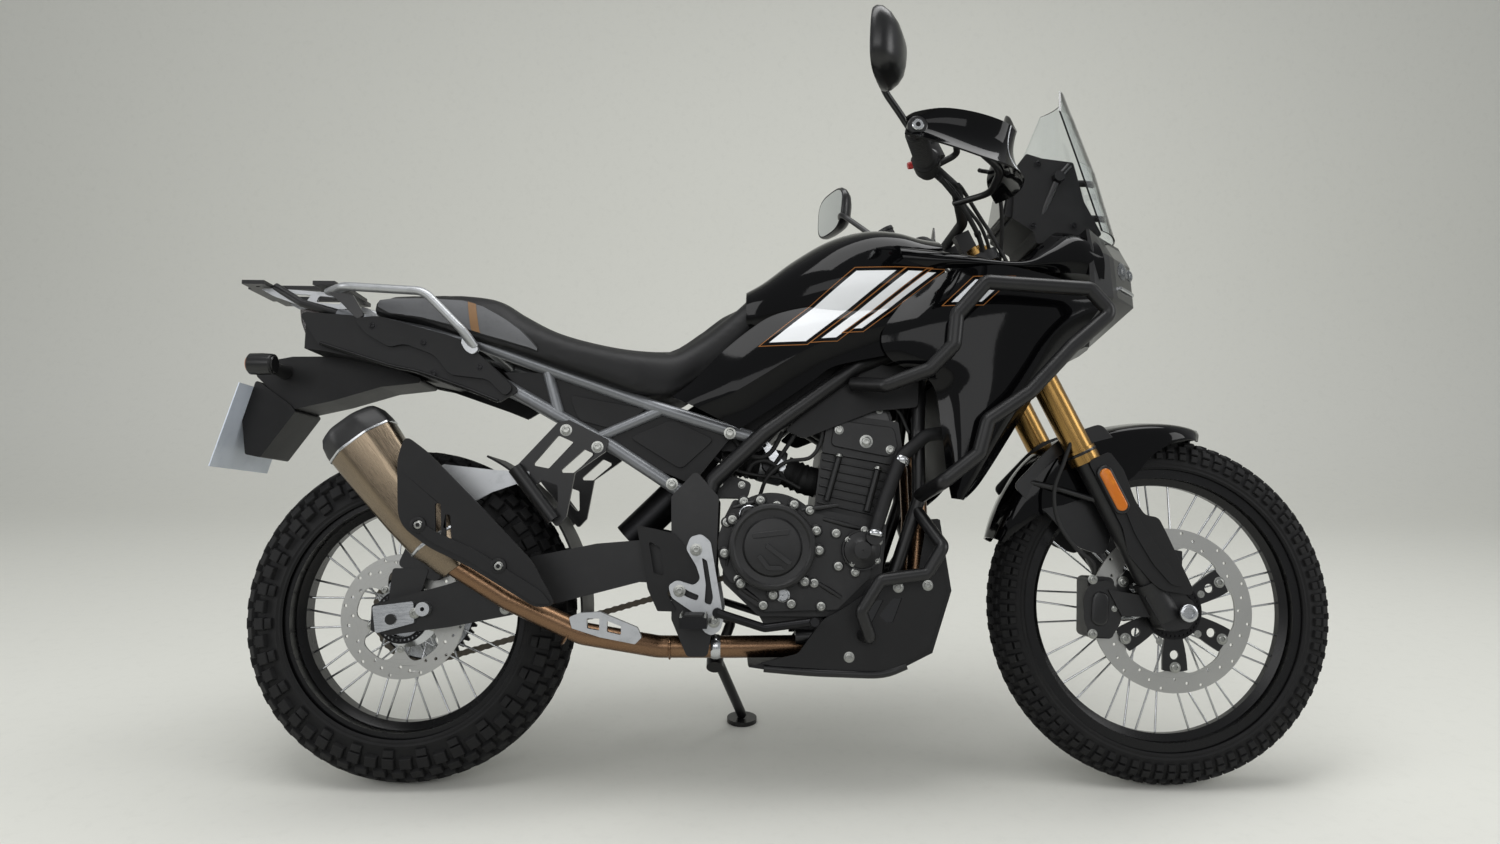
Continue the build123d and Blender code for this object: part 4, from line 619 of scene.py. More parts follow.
def tread(axle, outer, crown, rows, depth):
    """Blocks on a round crown. A row is (degrees across the crown, pitches round the tyre, share of a pitch
    it is turned by, length, width): a block's place is the crown's circle carried round the axle."""
    parts = []
    for across, count, shift, length, width in rows:
        tilt = math.radians(across)
        turn = (np.arange(count) + shift) * 2 * np.pi / count
        reach = outer - crown + (crown - depth - 1.0) * math.cos(tilt)
        radial = np.column_stack([np.cos(turn), np.zeros(count), np.sin(turn)])
        ahead = np.column_stack([-np.sin(turn), np.zeros(count), np.cos(turn)])
        out = radial * math.cos(tilt) + LEFT * math.sin(tilt)
        where = axle + radial * reach + LEFT * (crown - depth - 1.0) * math.sin(tilt)
        parts.append(placed_on(block_mesh(length, width, depth + 0.6), where, out, ahead))
    return joined(parts)


def carcass(axle, outer, width, seat, rim_half, depth, steps=144):
    """The tyre's own section: beads on the rim, a bulging sidewall with two thin ridges, a round crown."""
    crown = width / 2
    centre = outer - crown
    flange = seat + 13.0
    angle = np.radians(np.linspace(-88, 88, 27))
    over = np.column_stack([(crown - depth) * np.sin(angle), centre + (crown - depth) * np.cos(angle)])
    wall = [(rim_half - 4.4, seat + 0.2), (rim_half - 4.4, flange + 0.6), (rim_half - 0.6, flange + 3.4),
            (rim_half + 1.6, flange + 7.0), (crown - 7.0, centre - 22.0), (crown - 4.0, centre - 18.0),
            (crown - 5.0, centre - 14.0), (crown - 3.4, centre - 10.0)]
    wall = np.array(wall)
    left_wall = wall * (-1, 1)
    profile = np.vstack([left_wall, over, wall[::-1]])
    return turned(profile, axle, steps)


SIZES = {
    "front": (FRONT_AXLE, FRONT_R, 90.0, 267.0, 33.0, 7.0, [
        (-9, 80, 0.0, 17, 15), (13, 80, 0.5, 17, 14), (-34, 80, 0.5, 15, 14), (36, 80, 0.0, 15, 14),
        (-60, 80, 0.0, 17, 16), (60, 80, 0.5, 17, 16), (-83, 80, 0.0, 15, 14), (83, 80, 0.5, 15, 14)]),
    "rear": (REAR_AXLE, REAR_R, 140.0, 229.0, 56.0, 9.0, [
        (-8, 52, 0.0, 27, 18), (10, 52, 0.5, 27, 18), (-27, 52, 0.5, 25, 20), (28, 52, 0.0, 25, 20),
        (-47, 52, 0.0, 26, 21), (47, 52, 0.5, 26, 21), (-70, 52, 0.5, 25, 24), (70, 52, 0.0, 25, 24),
        (-87, 26, 0.25, 22, 15), (87, 26, 0.25, 22, 15)]),
}
for end, (axle, outer, width, seat, rim_half, depth, rows) in SIZES.items():
    parts = [carcass(axle, outer, width, seat, rim_half, depth), tread(axle, outer, width / 2, rows, depth)]
    tyre = finished(f"{end}_tyre_rubber", joined(parts), tyre_rubber, body=f"{end}_wheel",
                    replaces=(f"{end}_tyre",), smooth=35)
    print(tyre.name, len(tyre.data.polygons), "faces")

# %% [markdown]
# ## Brake discs, sprocket and hubs
# A disc is cut from sheet, so it is an outline with holes, given a thickness. The front disc is a ring
# that floats on a black carrier held by round bobbins; the rear one is a single piece with inward lobes.
# The small holes go round in a repeating row of three, each a little nearer the edge than the last.

# %% Discs
def scalloped(radius, depth, lobes, sides=240, start=0.0, sharp=1.0):
    """A circle whose radius falls by depth between lobes: radius minus depth times a raised cosine."""
    turn = full_turn(sides)
    wave = (0.5 - 0.5 * np.cos(lobes * (turn - start))) ** sharp
    reach = radius - depth * wave
    return np.column_stack([reach * np.cos(turn), reach * np.sin(turn)])


def hole_pattern(inner, outer, groups, radius, centre):
    """Rows of three small holes stepping outwards, repeated round the disc."""
    loops = []
    for k in range(groups * 3):
        step = k % 3
        reach = inner + (outer - inner) * (0.18 + 0.32 * step)
        turn = 2 * np.pi * k / (groups * 3)
        loops.append(circle((centre[0] + reach * math.cos(turn), centre[1] + reach * math.sin(turn)), radius,
                            10))
    return loops


def brake_disc(name, axle, outer, inner, lobes, lobe_depth, y, wall, material, body, node, groups, start):
    """A ring with scalloped inner lobes and small holes."""
    middle = axle[[0, 2]]
    rim_loop = circle(middle, outer, 144)
    inside = scalloped(inner, lobe_depth, lobes, 180, start, 4.0) + middle
    holes = hole_pattern(inner + 2, outer - 2, groups, 3.2, middle)
    piece = finished(name, cut_plate(rim_loop, y - wall / 2, y + wall / 2, [inside] + holes), material,
                     body=body, replaces=node, smooth=30)
    return bevelled(piece, 0.5, 1)


DISC_Y = -66.0
front_ring = brake_disc("front_disc_ring", FRONT_AXLE, 160.0, 126.0, 6, 16.0, DISC_Y, 4.6, front_disc_steel,
                        "front_wheel", ("front_disc",), 12, 0.0)
rear_ring = brake_disc("rear_disc_ring", REAR_AXLE, 120.0, 90.0, 5, 34.0, DISC_Y, 4.6, rear_disc_steel,
                       "rear_wheel", ("rear_disc",), 12, 0.3)


def carrier_loop(hub, reach, arms, waist, middle, start, sides=240):
    """A star outline: its radius swings between hub and reach, flat-topped at each arm."""
    turn = full_turn(sides)
    wave = np.clip(0.5 + waist * np.cos(arms * (turn - start)), 0, 1)
    radius = hub + (reach - hub) * wave
    return np.column_stack([radius * np.cos(turn), radius * np.sin(turn)]) + middle


middle = FRONT_AXLE[[0, 2]]
SIX = np.arange(6) * math.pi / 3 + math.pi / 6
arms = [circle((x, z), 9, 16) for x, _, z in around(FRONT_AXLE, 86, SIX, 0)]
star = carrier_loop(58, 118, 6, 1.6, middle, math.pi / 6)
star = cut_plate(star, DISC_Y - 7.0, DISC_Y - 1.0, [circle(middle, 26, 40)] + arms)
bevelled(finished("front_disc_carrier", star, satin_black, body="front_wheel", smooth=30), 1.0)
for end, axle, outer, inner, y, reach, hole in (("front", FRONT_AXLE, 56, 42, DISC_Y - 10, 50, 2.6),
                                                ("rear", REAR_AXLE, 52, 40, DISC_Y - 9, 46, 2.4)):
    slots = [circle((x, z), hole, 8) for x, _, z in around(axle, reach, np.arange(36) * math.pi / 18, 0)]
    ring = cut_plate(circle(axle[[0, 2]], outer, 72), y, y + 2, [circle(axle[[0, 2]], inner, 48)] + slots)
    finished(f"{end}_speed_ring", ring, dark_steel, body=f"{end}_wheel", smooth=30)
print("discs:", len(front_ring.data.polygons), len(rear_ring.data.polygons))

# %% [markdown]
# ## Bolts
# The machine shows some two hundred bolts. One mesh serves for all: a flanged head with a hexagon recess,
# turned from a profile. It is repeated at every place from a table and kept as one piece per body.

# %% One bolt, many places
def bolt_mesh(radius, height, flange=1.45, sides=18):
    """A flanged button head with a hex recess: rings of points, the recess rings being hexagonal."""
    turn = full_turn(sides)
    hexagon = 1 / np.cos((turn + math.pi / 6) % (math.pi / 3) - math.pi / 6)
    rings = [(radius * flange, 0.0, 0), (radius * flange, height * 0.22, 0), (radius * 1.02, height * 0.3, 0),
             (radius, height * 0.85, 0), (radius * 0.86, height, 0), (radius * 0.52, height, 1),
             (radius * 0.5, height * 0.45, 1), (radius * 0.02, height * 0.4, 1)]
    points = [np.column_stack([r * np.cos(turn) * (hexagon if flat else 1),
                               r * np.sin(turn) * (hexagon if flat else 1), np.full(sides, h)])
              for r, h, flat in rings]
    faces = grid_faces(len(rings), sides, False, True).tolist()
    faces += [list(range(sides))[::-1], list(range((len(rings) - 1) * sides, len(rings) * sides))]
    return np.vstack(points), faces


def bolts(name, rows, body="chassis", material=bolt_steel):
    """Bolts at rows of (place, direction, radius, height), in upright millimetres."""
    parts = []
    for place, way, radius, height in rows:
        up = (0, 0, 1) if abs(way[2]) < 0.9 else (1, 0, 0)
        parts.append(placed_on(bolt_mesh(radius, height), [place], [way], [up]))
    return finished(name, joined(parts), material, body=body, smooth=40)


def both_sides(y, radius, height, places):
    """Bolt rows at (x, z) places on both sides of the machine, each facing outwards."""
    return [((x, side * y, z), (0, side, 0), radius, height) for side in (-1, 1) for x, z in places]


RIGHT_OUT = (0, -1, 0)
FIVE = np.arange(5) * math.tau / 5
rows = [(spot, RIGHT_OUT, 7.5, 4) for spot in around(FRONT_AXLE, 110, SIX, DISC_Y - 7)]
rows += [(spot, RIGHT_OUT, 5.0, 1) for spot in around(FRONT_AXLE, 66, FIVE + 0.5, DISC_Y - 7)]
bolts("front_disc_bolts", rows, "front_wheel")
rows = [(spot, RIGHT_OUT, 5.5, 4) for spot in around(REAR_AXLE, 62, FIVE + 0.3 + math.pi / 5, DISC_Y - 3)]
bolts("rear_disc_bolts", rows, "rear_wheel")
print("bolts on the wheels")

# %% [markdown]
# ## Chain
# A chain is two rows of waisted plates with rollers between them, one pitch of 15.875 mm each. The plates
# follow the path of the band that the solid shows: two straight runs joined round both sprockets.

# %% Chain links
PITCH_MM = 15.875
def chain_path(centre_a, radius_a, centre_b, radius_b, links):
    """Evenly spaced points round two circles joined by their outer tangents: arcs and runs measured along
    their length, then sampled by distance."""
    run = np.subtract(centre_b, centre_a)
    gap = np.linalg.norm(run)
    slope, spread = math.atan2(run[1], run[0]), math.asin((radius_a - radius_b) / gap)
    around_a = np.linspace(math.pi / 2 - spread, 3 * math.pi / 2 + spread, 90) + slope
    around_b = np.linspace(-math.pi / 2 + spread, math.pi / 2 - spread, 60) + slope
    loop = np.vstack([np.column_stack([centre_a[0] + radius_a * np.cos(around_a),
                                       centre_a[1] + radius_a * np.sin(around_a)]),
                      np.column_stack([centre_b[0] + radius_b * np.cos(around_b),
                                       centre_b[1] + radius_b * np.sin(around_b)])])
    loop = np.vstack([loop, loop[:1]])
    far = np.concatenate([[0], np.cumsum(np.linalg.norm(np.diff(loop, axis=0), axis=1))])
    spots = np.linspace(0, far[-1], links, endpoint=False)
    return np.column_stack([np.interp(spots, far, loop[:, i]) for i in range(2)])


def link_mesh(pitch, thick):
    """A waisted plate between two pins: two round ends joined by a narrower middle, in its own (x, y)."""
    left = [(-pitch / 2 + 6.6 * math.cos(a), 6.6 * math.sin(a))
            for a in np.linspace(math.pi / 2, 3 * math.pi / 2, 7)]
    right = [(pitch / 2 + 6.6 * math.cos(a), 6.6 * math.sin(a))
             for a in np.linspace(-math.pi / 2, math.pi / 2, 7)]
    loop = np.array(left + [(0, -5.0)] + right + [(0, 5.0)])
    count = len(loop)
    points = np.vstack([np.column_stack([loop, np.zeros(count)]),
                        np.column_stack([loop, np.full(count, thick)])])
    here = np.arange(count)
    walls = np.stack([here, (here + 1) % count, (here + 1) % count + count, here + count], -1).tolist()
    return points, [list(range(count))[::-1], list(range(count, 2 * count))] + walls


SPROCKET = (640.0, 440.0)
REAR_PITCH_R, FRONT_PITCH_R = PITCH_MM / (2 * math.sin(math.pi / 42)), PITCH_MM / (2 * math.sin(math.pi / 14))
LINKS = 110
pins = chain_path((0.0, REAR_R), REAR_PITCH_R, SPROCKET, FRONT_PITCH_R, LINKS)
after = np.roll(pins, -1, 0)
mids, ways = (pins + after) / 2, after - pins
CHAIN_Y = 84.0
chain_parts = []
for first, rows_y in ((0, (-7.6, 6.0)), (1, (-5.8, 4.2))):
    for y in rows_y:
        spots = mids[first::2]
        places = np.column_stack([spots[:, 0], np.full(len(spots), CHAIN_Y + y), spots[:, 1]])
        along = np.column_stack([ways[first::2, 0], np.zeros(len(spots)), ways[first::2, 1]])
        chain_parts.append(placed_on(link_mesh(PITCH_MM, 1.6), places, np.tile(LEFT, (len(spots), 1)), along))
turn = full_turn(10)
roller = (np.vstack([np.column_stack([5 * np.cos(turn), 5 * np.sin(turn), np.full(10, z)])
                     for z in (-7.8, 7.8)]), grid_faces(2, 10, False, True).tolist() + [list(range(10))[::-1],
                                                                                        list(range(10, 20))])
places = np.column_stack([pins[:, 0], np.full(LINKS, CHAIN_Y), pins[:, 1]])
chain_parts.append(placed_on(roller, places, np.tile(LEFT, (LINKS, 1)), np.tile((1.0, 0, 0), (LINKS, 1))))
finished("chain_links", joined(chain_parts), oiled_steel, replaces=("chain",), smooth=30)
TEETH = 42
turn = full_turn(TEETH * 8)
wave = np.clip(0.5 + 0.9 * np.cos(TEETH * turn), 0, 1)
edge = REAR_PITCH_R - 7 + 10 * wave
sprocket = cut_plate(np.column_stack([edge * np.cos(turn), edge * np.sin(turn)]) + (0.0, REAR_R),
                     CHAIN_Y - 3, CHAIN_Y + 3, [circle((0.0, REAR_R), REAR_PITCH_R - 14, 60)])
finished("rear_sprocket_teeth", sprocket, dark_steel, body="rear_wheel", smooth=30)
print("links:", LINKS, "spacing", round(float(np.linalg.norm(ways, axis=1).mean()), 2), "mm")

# %% [markdown]
# ## Bodywork
# Each panel is given as rows of points: a few stations along it, and a few points across each station.
# A smooth cubic passes through the points both ways. The sheet then gets a second skin a wall behind it
# and a rim that joins the two, so that it is a closed moulding like the real one. The left panels are the
# right ones mirrored.

# %% Sheets with a wall
def smooth_grid(rows, per_row=8, per_column=6, closed=False):
    """Points on a smooth surface through a table of rows, all rows of one length; closed rows join up."""
    table = np.asarray(rows, float)
    down = curve(table.reshape(len(table), -1), per_row).reshape(-1, table.shape[1], 3)
    over = curve(down.transpose(1, 0, 2).reshape(table.shape[1], -1), per_column, closed)
    return over.reshape(-1, len(down), 3).transpose(1, 0, 2)


def shell(points, wall):
    """A closed sheet: the grid, a copy moved back along its normals by the wall, and strips round the rim."""
    u, v = np.gradient(points, axis=0), np.gradient(points, axis=1)
    normal = np.cross(u, v)
    normal /= np.linalg.norm(normal, axis=2, keepdims=True) + 1e-12
    rows, columns = points.shape[:2]
    back = points + normal * wall
    count = rows * columns
    number = np.arange(count).reshape(rows, columns)
    front = grid_faces(rows, columns)
    rim = np.concatenate([number[0, :-1], number[:-1, -1], number[-1, :0:-1], number[:0:-1, 0]])
    after = np.roll(rim, -1)
    strip = np.stack([rim, after, after + count, rim + count], -1)
    faces = np.vstack([front, front[:, ::-1] + count, strip[:, ::-1]])
    return np.vstack([points.reshape(-1, 3), back.reshape(-1, 3)]), faces.tolist()


def mirrored(part):
    """A part and its copy on the other side: y changes sign and each face is read the other way."""
    points, faces = part
    return joined([part, (points * (1, -1, 1), [face[::-1] for face in faces])])


def panel_pair(name, rows, wall, material, replaces):
    """A panel on the right from its table, with its mirror on the left."""
    made = shell(smooth_grid(rows), wall)
    return finished(name, mirrored(made), material, replaces=replaces, smooth=40.0)


# %% [markdown]
# ## Fuel tank
# The tank is the widest gloss surface. Seen from the side it climbs from the seat in a firm curve and
# levels out at the filler. Across, each section rises from the lower edge, bends hard at the shoulder and
# closes flat over the top, so light draws one long highlight along the shoulder.

# %% Tank
TANK_ROWS = [                  # x, then (half width, z) up the side from the lower edge to the middle line
    (664, (62, 896), (74, 915), (80, 940), (76, 962), (58, 976), (30, 982), (0, 984)),
    (700, (70, 880), (94, 908), (104, 945), (98, 975), (76, 993), (40, 1001), (0, 1003)),
    (760, (84, 866), (118, 905), (134, 960), (122, 1008), (92, 1034), (48, 1045), (0, 1048)),
    (830, (96, 862), (136, 905), (158, 975), (142, 1040), (104, 1072), (54, 1084), (0, 1087)),
    (900, (104, 864), (146, 910), (168, 985), (152, 1058), (112, 1090), (58, 1102), (0, 1105)),
    (960, (106, 868), (150, 915), (172, 985), (156, 1056), (116, 1088), (60, 1099), (0, 1102)),
    (1010, (106, 872), (148, 918), (168, 980), (154, 1044), (116, 1075), (60, 1086), (0, 1089)),
    (1046, (105, 879), (146, 921), (165, 978), (152, 1039), (114, 1070), (60, 1082), (0, 1085)),
]


def full_section(rows):
    """Both sides of each section: the right side's points, then their mirror image."""
    table = []
    for x, *half in rows:
        table.append([(x, -w, z) for w, z in half] + [(x, w, z) for w, z in half[-2::-1]])
    return table


tank_grid = smooth_grid(full_section(TANK_ROWS), 8, 6)
tank = finished("tank_cover", shell(tank_grid, 3.0), body_gloss, replaces=("fuel_tank",), smooth=40)
print("tank faces:", len(tank.data.polygons))

# %% [markdown]
# Under the tank a gloss side cover runs down to the frame. Its long upper and lower edges are straight,
# and one crease runs between them.

# %% Side covers, trims and fairings
def creased(rows, bulge=5.0, dip=3.0):
    """A table from (top, crease, low) points: five shares of each half, the upper one crowned outwards and
    the lower one drawn in by a sine."""
    share = np.linspace(0, 1, 6)[:, None]
    table = []
    for top, crease, low in np.asarray(rows, float):
        out = np.array([0.0, -1.0, 0.0])
        upper = top + (crease - top) * share + out * bulge * np.sin(np.pi * share)
        lower = crease + (low - crease) * share - out * dip * np.sin(np.pi * share)
        table.append(np.vstack([upper, lower[1:]]))
    return table


COVER = [                      # (top edge, crease, lower edge) from the seat's foot up to the fairing
    [(520, -144, 752), (570, -158, 728), (650, -148, 690)],
    [(560, -146, 782), (636, -167, 757), (700, -150, 722)],
    [(610, -146, 834), (689, -171, 788), (750, -151, 756)],
    [(668, -144, 884), (740, -172, 820), (790, -151, 784)],
    [(720, -142, 916), (790, -172, 848), (826, -152, 810)],
    [(800, -140, 934), (842, -170, 868), (868, -152, 822)],
    [(900, -144, 940), (912, -168, 886), (936, -154, 836)],
    [(960, -150, 950), (990, -168, 904), (1004, -158, 852)],
]
cover_grid = smooth_grid(creased(COVER), 6, 2)
finished("side_covers_gloss", mirrored(shell(cover_grid, 3.0)), body_gloss, replaces=("side_panels",),
         smooth=20)
SHROUD = [                     # fairing rows from the pointed foot to the top edge, rear to front
    [(1050, -170, 560), (1056, -186, 558), (1062, -190, 557), (1068, -186, 556), (1074, -168, 556)],
    [(1042, -168, 610), (1058, -192, 604), (1074, -197, 600), (1092, -190, 596), (1108, -160, 590)],
    [(1034, -168, 690), (1062, -196, 684), (1096, -202, 680), (1134, -194, 676), (1164, -158, 674)],
    [(1016, -168, 780), (1060, -198, 774), (1122, -206, 770), (1188, -196, 778), (1236, -160, 790)],
    [(940, -166, 824), (1010, -196, 824), (1106, -208, 830), (1206, -200, 838), (1284, -164, 852)],
    [(922, -168, 872), (1000, -198, 884), (1108, -210, 892), (1224, -204, 900), (1340, -170, 922)],
    [(958, -166, 930), (1030, -194, 940), (1130, -206, 944), (1236, -200, 944), (1352, -170, 948)],
    [(1008, -160, 986), (1070, -180, 1000), (1150, -190, 1006), (1240, -184, 990), (1336, -164, 968)],
]
panel_pair("fairing_shrouds", SHROUD, 4.0, body_gloss, ("side_fairings",))
TRIM_TOP = [                   # matt trim above the fairing, from the tank shoulder to the nose
    [(958, -154, 1052), (960, -166, 1044), (962, -172, 1032), (966, -170, 1018), (972, -160, 1002)],
    [(1060, -150, 1042), (1066, -170, 1034), (1072, -180, 1024), (1078, -182, 1014), (1084, -172, 1004)],
    [(1180, -146, 1024), (1186, -170, 1020), (1190, -184, 1014), (1194, -184, 1006), (1198, -172, 998)],
    [(1232, -140, 1054), (1242, -168, 1046), (1250, -184, 1034), (1256, -184, 1016), (1260, -172, 998)],
    [(1278, -128, 1092), (1292, -160, 1078), (1304, -180, 1058), (1312, -182, 1026), (1316, -170, 996)],
    [(1310, -112, 1082), (1330, -140, 1076), (1346, -164, 1060), (1356, -172, 1026), (1358, -164, 988)],
]
panel_pair("upper_trim_gloss", TRIM_TOP, 4.0, plain_gloss, ("upper_trims",))
print("body panels made")

# %% [markdown]
# ## Seat
# A moulded foam block under a stitched vinyl cover: the pillion end is a flat island with a paler textured
# side, the rider's end is a deep saddle that narrows towards the tank. The foam is pressed from inside by a
# short cloth simulation, so that the cover bulges softly between its edges.

# %% Seat foam and cover
SEAT_ROWS = [                  # x, then (half width, z) from the underside's middle round to the top's middle
    (-88, (0, 926), (50, 926), (70, 932), (76, 944), (68, 956), (40, 961), (0, 962)),
    (-40, (0, 908), (80, 908), (104, 916), (108, 934), (96, 950), (56, 958), (0, 960)),
    (30, (0, 892), (100, 892), (126, 902), (128, 926), (114, 946), (66, 956), (0, 958)),
    (110, (0, 868), (118, 866), (144, 878), (142, 914), (124, 942), (70, 953), (0, 955)),
    (172, (0, 850), (122, 848), (150, 862), (148, 904), (126, 932), (70, 943), (0, 945)),
    (224, (0, 834), (124, 832), (154, 846), (152, 882), (130, 904), (74, 912), (0, 913)),
    (290, (0, 812), (126, 808), (158, 824), (160, 852), (142, 870), (84, 878), (0, 880)),
    (370, (0, 786), (126, 782), (158, 798), (162, 826), (146, 846), (88, 856), (0, 858)),
    (450, (0, 764), (122, 758), (150, 776), (152, 808), (136, 834), (80, 846), (0, 848)),
    (516, (0, 764), (106, 758), (128, 778), (126, 812), (108, 840), (64, 852), (0, 855)),
    (570, (0, 800), (88, 794), (104, 814), (102, 850), (84, 878), (48, 890), (0, 893)),
    (624, (0, 850), (74, 844), (88, 864), (86, 900), (70, 926), (40, 937), (0, 940)),
    (676, (0, 900), (58, 896), (72, 914), (72, 948), (58, 976), (32, 988), (0, 991)),
]
seat_table = [[(x, -w, z) for w, z in half] + [(x, w, z) for w, z in half[-2:0:-1]] for x, *half in SEAT_ROWS]
seat_grid = smooth_grid(seat_table, 8, 5, closed=True)
seat_foam = finished("seat_cover", closed_grid(seat_grid), matt_black, replaces=("seat",),
                     smooth=60)
print("seat faces:", len(seat_foam.data.polygons))

# %% [markdown]
# ## Silencer
# The can is an eight-sided tube with softened corners. It starts narrow at the pipe, swells, and ends in a
# black cap with a short outlet. Its brushed lines run along it. A heat shield stands outside it on two
# bolts, with a raised rib along its lower edge and two slots.

# %% Can, cap and shield
CAN_FOOT, CAN_END = np.array([122.0, 426.0]), np.array([-84.0, 692.0])
CAN_WAY = (CAN_END - CAN_FOOT) / np.linalg.norm(CAN_END - CAN_FOOT)
CAN_SIDE = np.array([CAN_WAY[1], -CAN_WAY[0]])
CAN_Y = -164.0


def can_rings(stations, corner=10.0):
    """Eight-sided rings along the can. A station is (share of the way up, half height, half width)."""
    rings = []
    for share, height, width in stations:
        corners = [(width, height * 0.45), (width * 0.45, height)]
        corners += [(-y, z) for y, z in corners[::-1]]
        corners += [(y, -z) for y, z in corners[::-1]]
        loop = rounded(corners, min(corner, width * 0.3), 4)
        middle = CAN_FOOT + (CAN_END - CAN_FOOT) * share
        flat = middle + loop[:, 1:] * CAN_SIDE
        rings.append(np.column_stack([flat[:, 0], CAN_Y + loop[:, 0], flat[:, 1]]))
    return np.array(rings)


body_stations = [(-0.02, 24, 24), (0.0, 27, 27), (0.03, 31, 30), (0.10, 37, 36), (0.16, 45, 42),
                 (0.175, 46, 43), (0.36, 54, 48), (0.60, 60, 52), (0.82, 64.5, 54), (0.865, 65.5, 54)]
finished("silencer_can", closed_grid(can_rings(body_stations)), can_steel, replaces=("silencer",), smooth=28)
seam = [(0.168, 46.5, 43.5), (0.172, 48, 45), (0.182, 48, 45), (0.186, 47, 44)]
finished("silencer_seam", closed_grid(can_rings(seam)), bright_steel, smooth=30)
ring_stations = [(0.855, 65.6, 54.2), (0.858, 67.2, 55.6), (0.868, 67.2, 55.6), (0.871, 65.6, 54.2)]
finished("silencer_ring", closed_grid(can_rings(ring_stations)), bright_steel, smooth=30)
cap_stations = [(0.868, 66.4, 55), (0.90, 66, 54.8), (0.955, 63, 52), (0.99, 57, 47), (1.0, 52, 43),
                (1.003, 46, 38), (0.975, 40, 33), (0.94, 36, 30)]
finished("silencer_cap", closed_grid(can_rings(cap_stations)), cast_black, smooth=35)
outlet_path = [CAN_FOOT + (CAN_END - CAN_FOOT) * share for share in (0.93, 0.96, 1.0, 1.015)]
outlet_path = np.array([(x, CAN_Y, z) for x, z in outlet_path])
rod("silencer_outlet", outlet_path, [20, 20, 20, 17], dark_steel, sides=24)
SHIELD = [(44, 664), (88, 632), (210, 512), (282, 438), (326, 362), (292, 356), (166, 430), (96, 462),
          (50, 496), (38, 520), (32, 620)]
slots = [rounded([(104, 541), (114, 541), (118, 474), (108, 470)], 4, 4),
         rounded([(123, 522), (132, 520), (136, 470), (127, 470)], 4, 4)]
plate("silencer_shield_face", SHIELD, (-235, -229), matt_black, corner=16, holes=slots, edge=2.0, segments=3,
      replaces=("silencer_shield",))
RIB = [(318, 364), (290, 364), (168, 440), (100, 472), (58, 506), (72, 512), (112, 488), (182, 458),
       (300, 386)]
plate("silencer_shield_rib", RIB, (-238.5, -234), matt_black, corner=7, edge=1.6, segments=3)
for at, (x, z) in enumerate(((76, 502), (222, 430))):
    cup = [(-234, 15), (-239, 14), (-240, 12), (-240, 9), (-236, 8), (-234, 8)]
    lathe(f"shield_cup_{at}", cup, (x, 0, z), matt_black, steps=32, smooth=50)
bolts("shield_bolts", [((76, -235, 502), RIGHT_OUT, 7, 5), ((222, -235, 430), RIGHT_OUT, 7, 5)])
rod("shield_spacer", [(60, -230, 560), (60, -205, 560)], 9, dark_steel, sides=16)
print("silencer pieces made")

# %% [markdown]
# Where the pipe meets the can a clamp closes the joint, and each bend of the pipe shows a raised weld.

# %% Clamp and welds
def collar(name, path, radius, material, body="chassis", lip=2.2):
    """A short band round a tube: radius rises to its lip, stays, and falls back."""
    path = np.asarray(path, float)
    line = np.linspace(0, 1, 5)[:, None]
    run = path[0] + (path[-1] - path[0]) * line
    return finished(name, tube(run, radius + np.array([0, lip, lip, lip, 0]), 28), material, body=body,
                    smooth=35)


collar("pipe_clamp", [(196, -158, 388), (216, -156, 376)], 21.2, dark_steel)
collar("pipe_joint", [(600, -110, 277), (618, -110, 277)], 21.2, bright_steel)
collar("pipe_weld_rear", [(330, -146, 304), (334, -145, 302)], 20.8, pipe_steel, lip=1.8)
collar("pipe_weld_front", [(520, -112, 275), (524, -112, 275)], 20.8, pipe_steel, lip=1.8)
print("clamp and welds made")

# %% [markdown]
# ## Front end
# Two blades guard the fork's lower legs. On each sits an amber reflector, a pill-shaped lens in a black
# frame. The mudguard is gloss, carries a shallow ridge, and drops a side plate over the fork's foot.

# %% Fork guards and reflectors
GUARD = [(1324, 634), (1366, 654), (1392, 619), (1412, 560), (1430, 532), (1456, 528), (1468, 503),
         (1516, 394), (1514, 380), (1456, 390), (1437, 405), (1395, 456), (1386, 507)]


def pill(middle, along, across, out, length, width, height, rings=5, sides=36):
    """A domed lens with a stadium outline: rings of the outline shrink as they rise, the last one flat.
    Each ring's inset follows a quarter circle, so the edge is round."""
    turn = full_turn(sides)
    quarter = np.linspace(0, np.pi / 2, rings)
    points = []
    for angle in quarter:
        half = width / 2 - height * (1 - math.cos(angle))
        run = (length - width) / 2 * np.sign(np.cos(turn)) + half * np.cos(turn)
        flat = run[:, None] * along + (half * np.sin(turn))[:, None] * across
        points.append(middle + flat + out * height * math.sin(angle))
    base = points[0] - out * 1.5
    return closed_grid(np.array([base, *points]))


for side, word in BOTH_SIDES:
    plate(f"fork_guard_{word}", GUARD, y_span(side, 133, 139), matt_black, corner=9, edge=2.2, segments=3,
          body="steering", replaces=("fork_guards",) if side < 0 else ())
    crease = [(1352, 628), (1372, 630), (1400, 566), (1420, 520), (1470, 440), (1496, 396), (1474, 400),
              (1440, 440), (1408, 496), (1386, 556)]
    plate(f"fork_guard_ridge_{word}", crease, y_span(side, 138.5, 141.5), matt_black, corner=8, edge=1.4,
          segments=3, body="steering")
    middle = np.array([1369.0, side * 141.0, 580.0])
    out = np.array([0.0, float(side), 0.0])
    finished(f"reflector_frame_{word}", pill(middle, ALONG, AHEAD, out, 100, 32, 3.5), satin_black,
             body="steering", smooth=40)
    finished(f"reflector_{word}", pill(middle + out * 3.0, ALONG, AHEAD, out, 88, 23, 3.5), amber,
             body="steering", smooth=40)
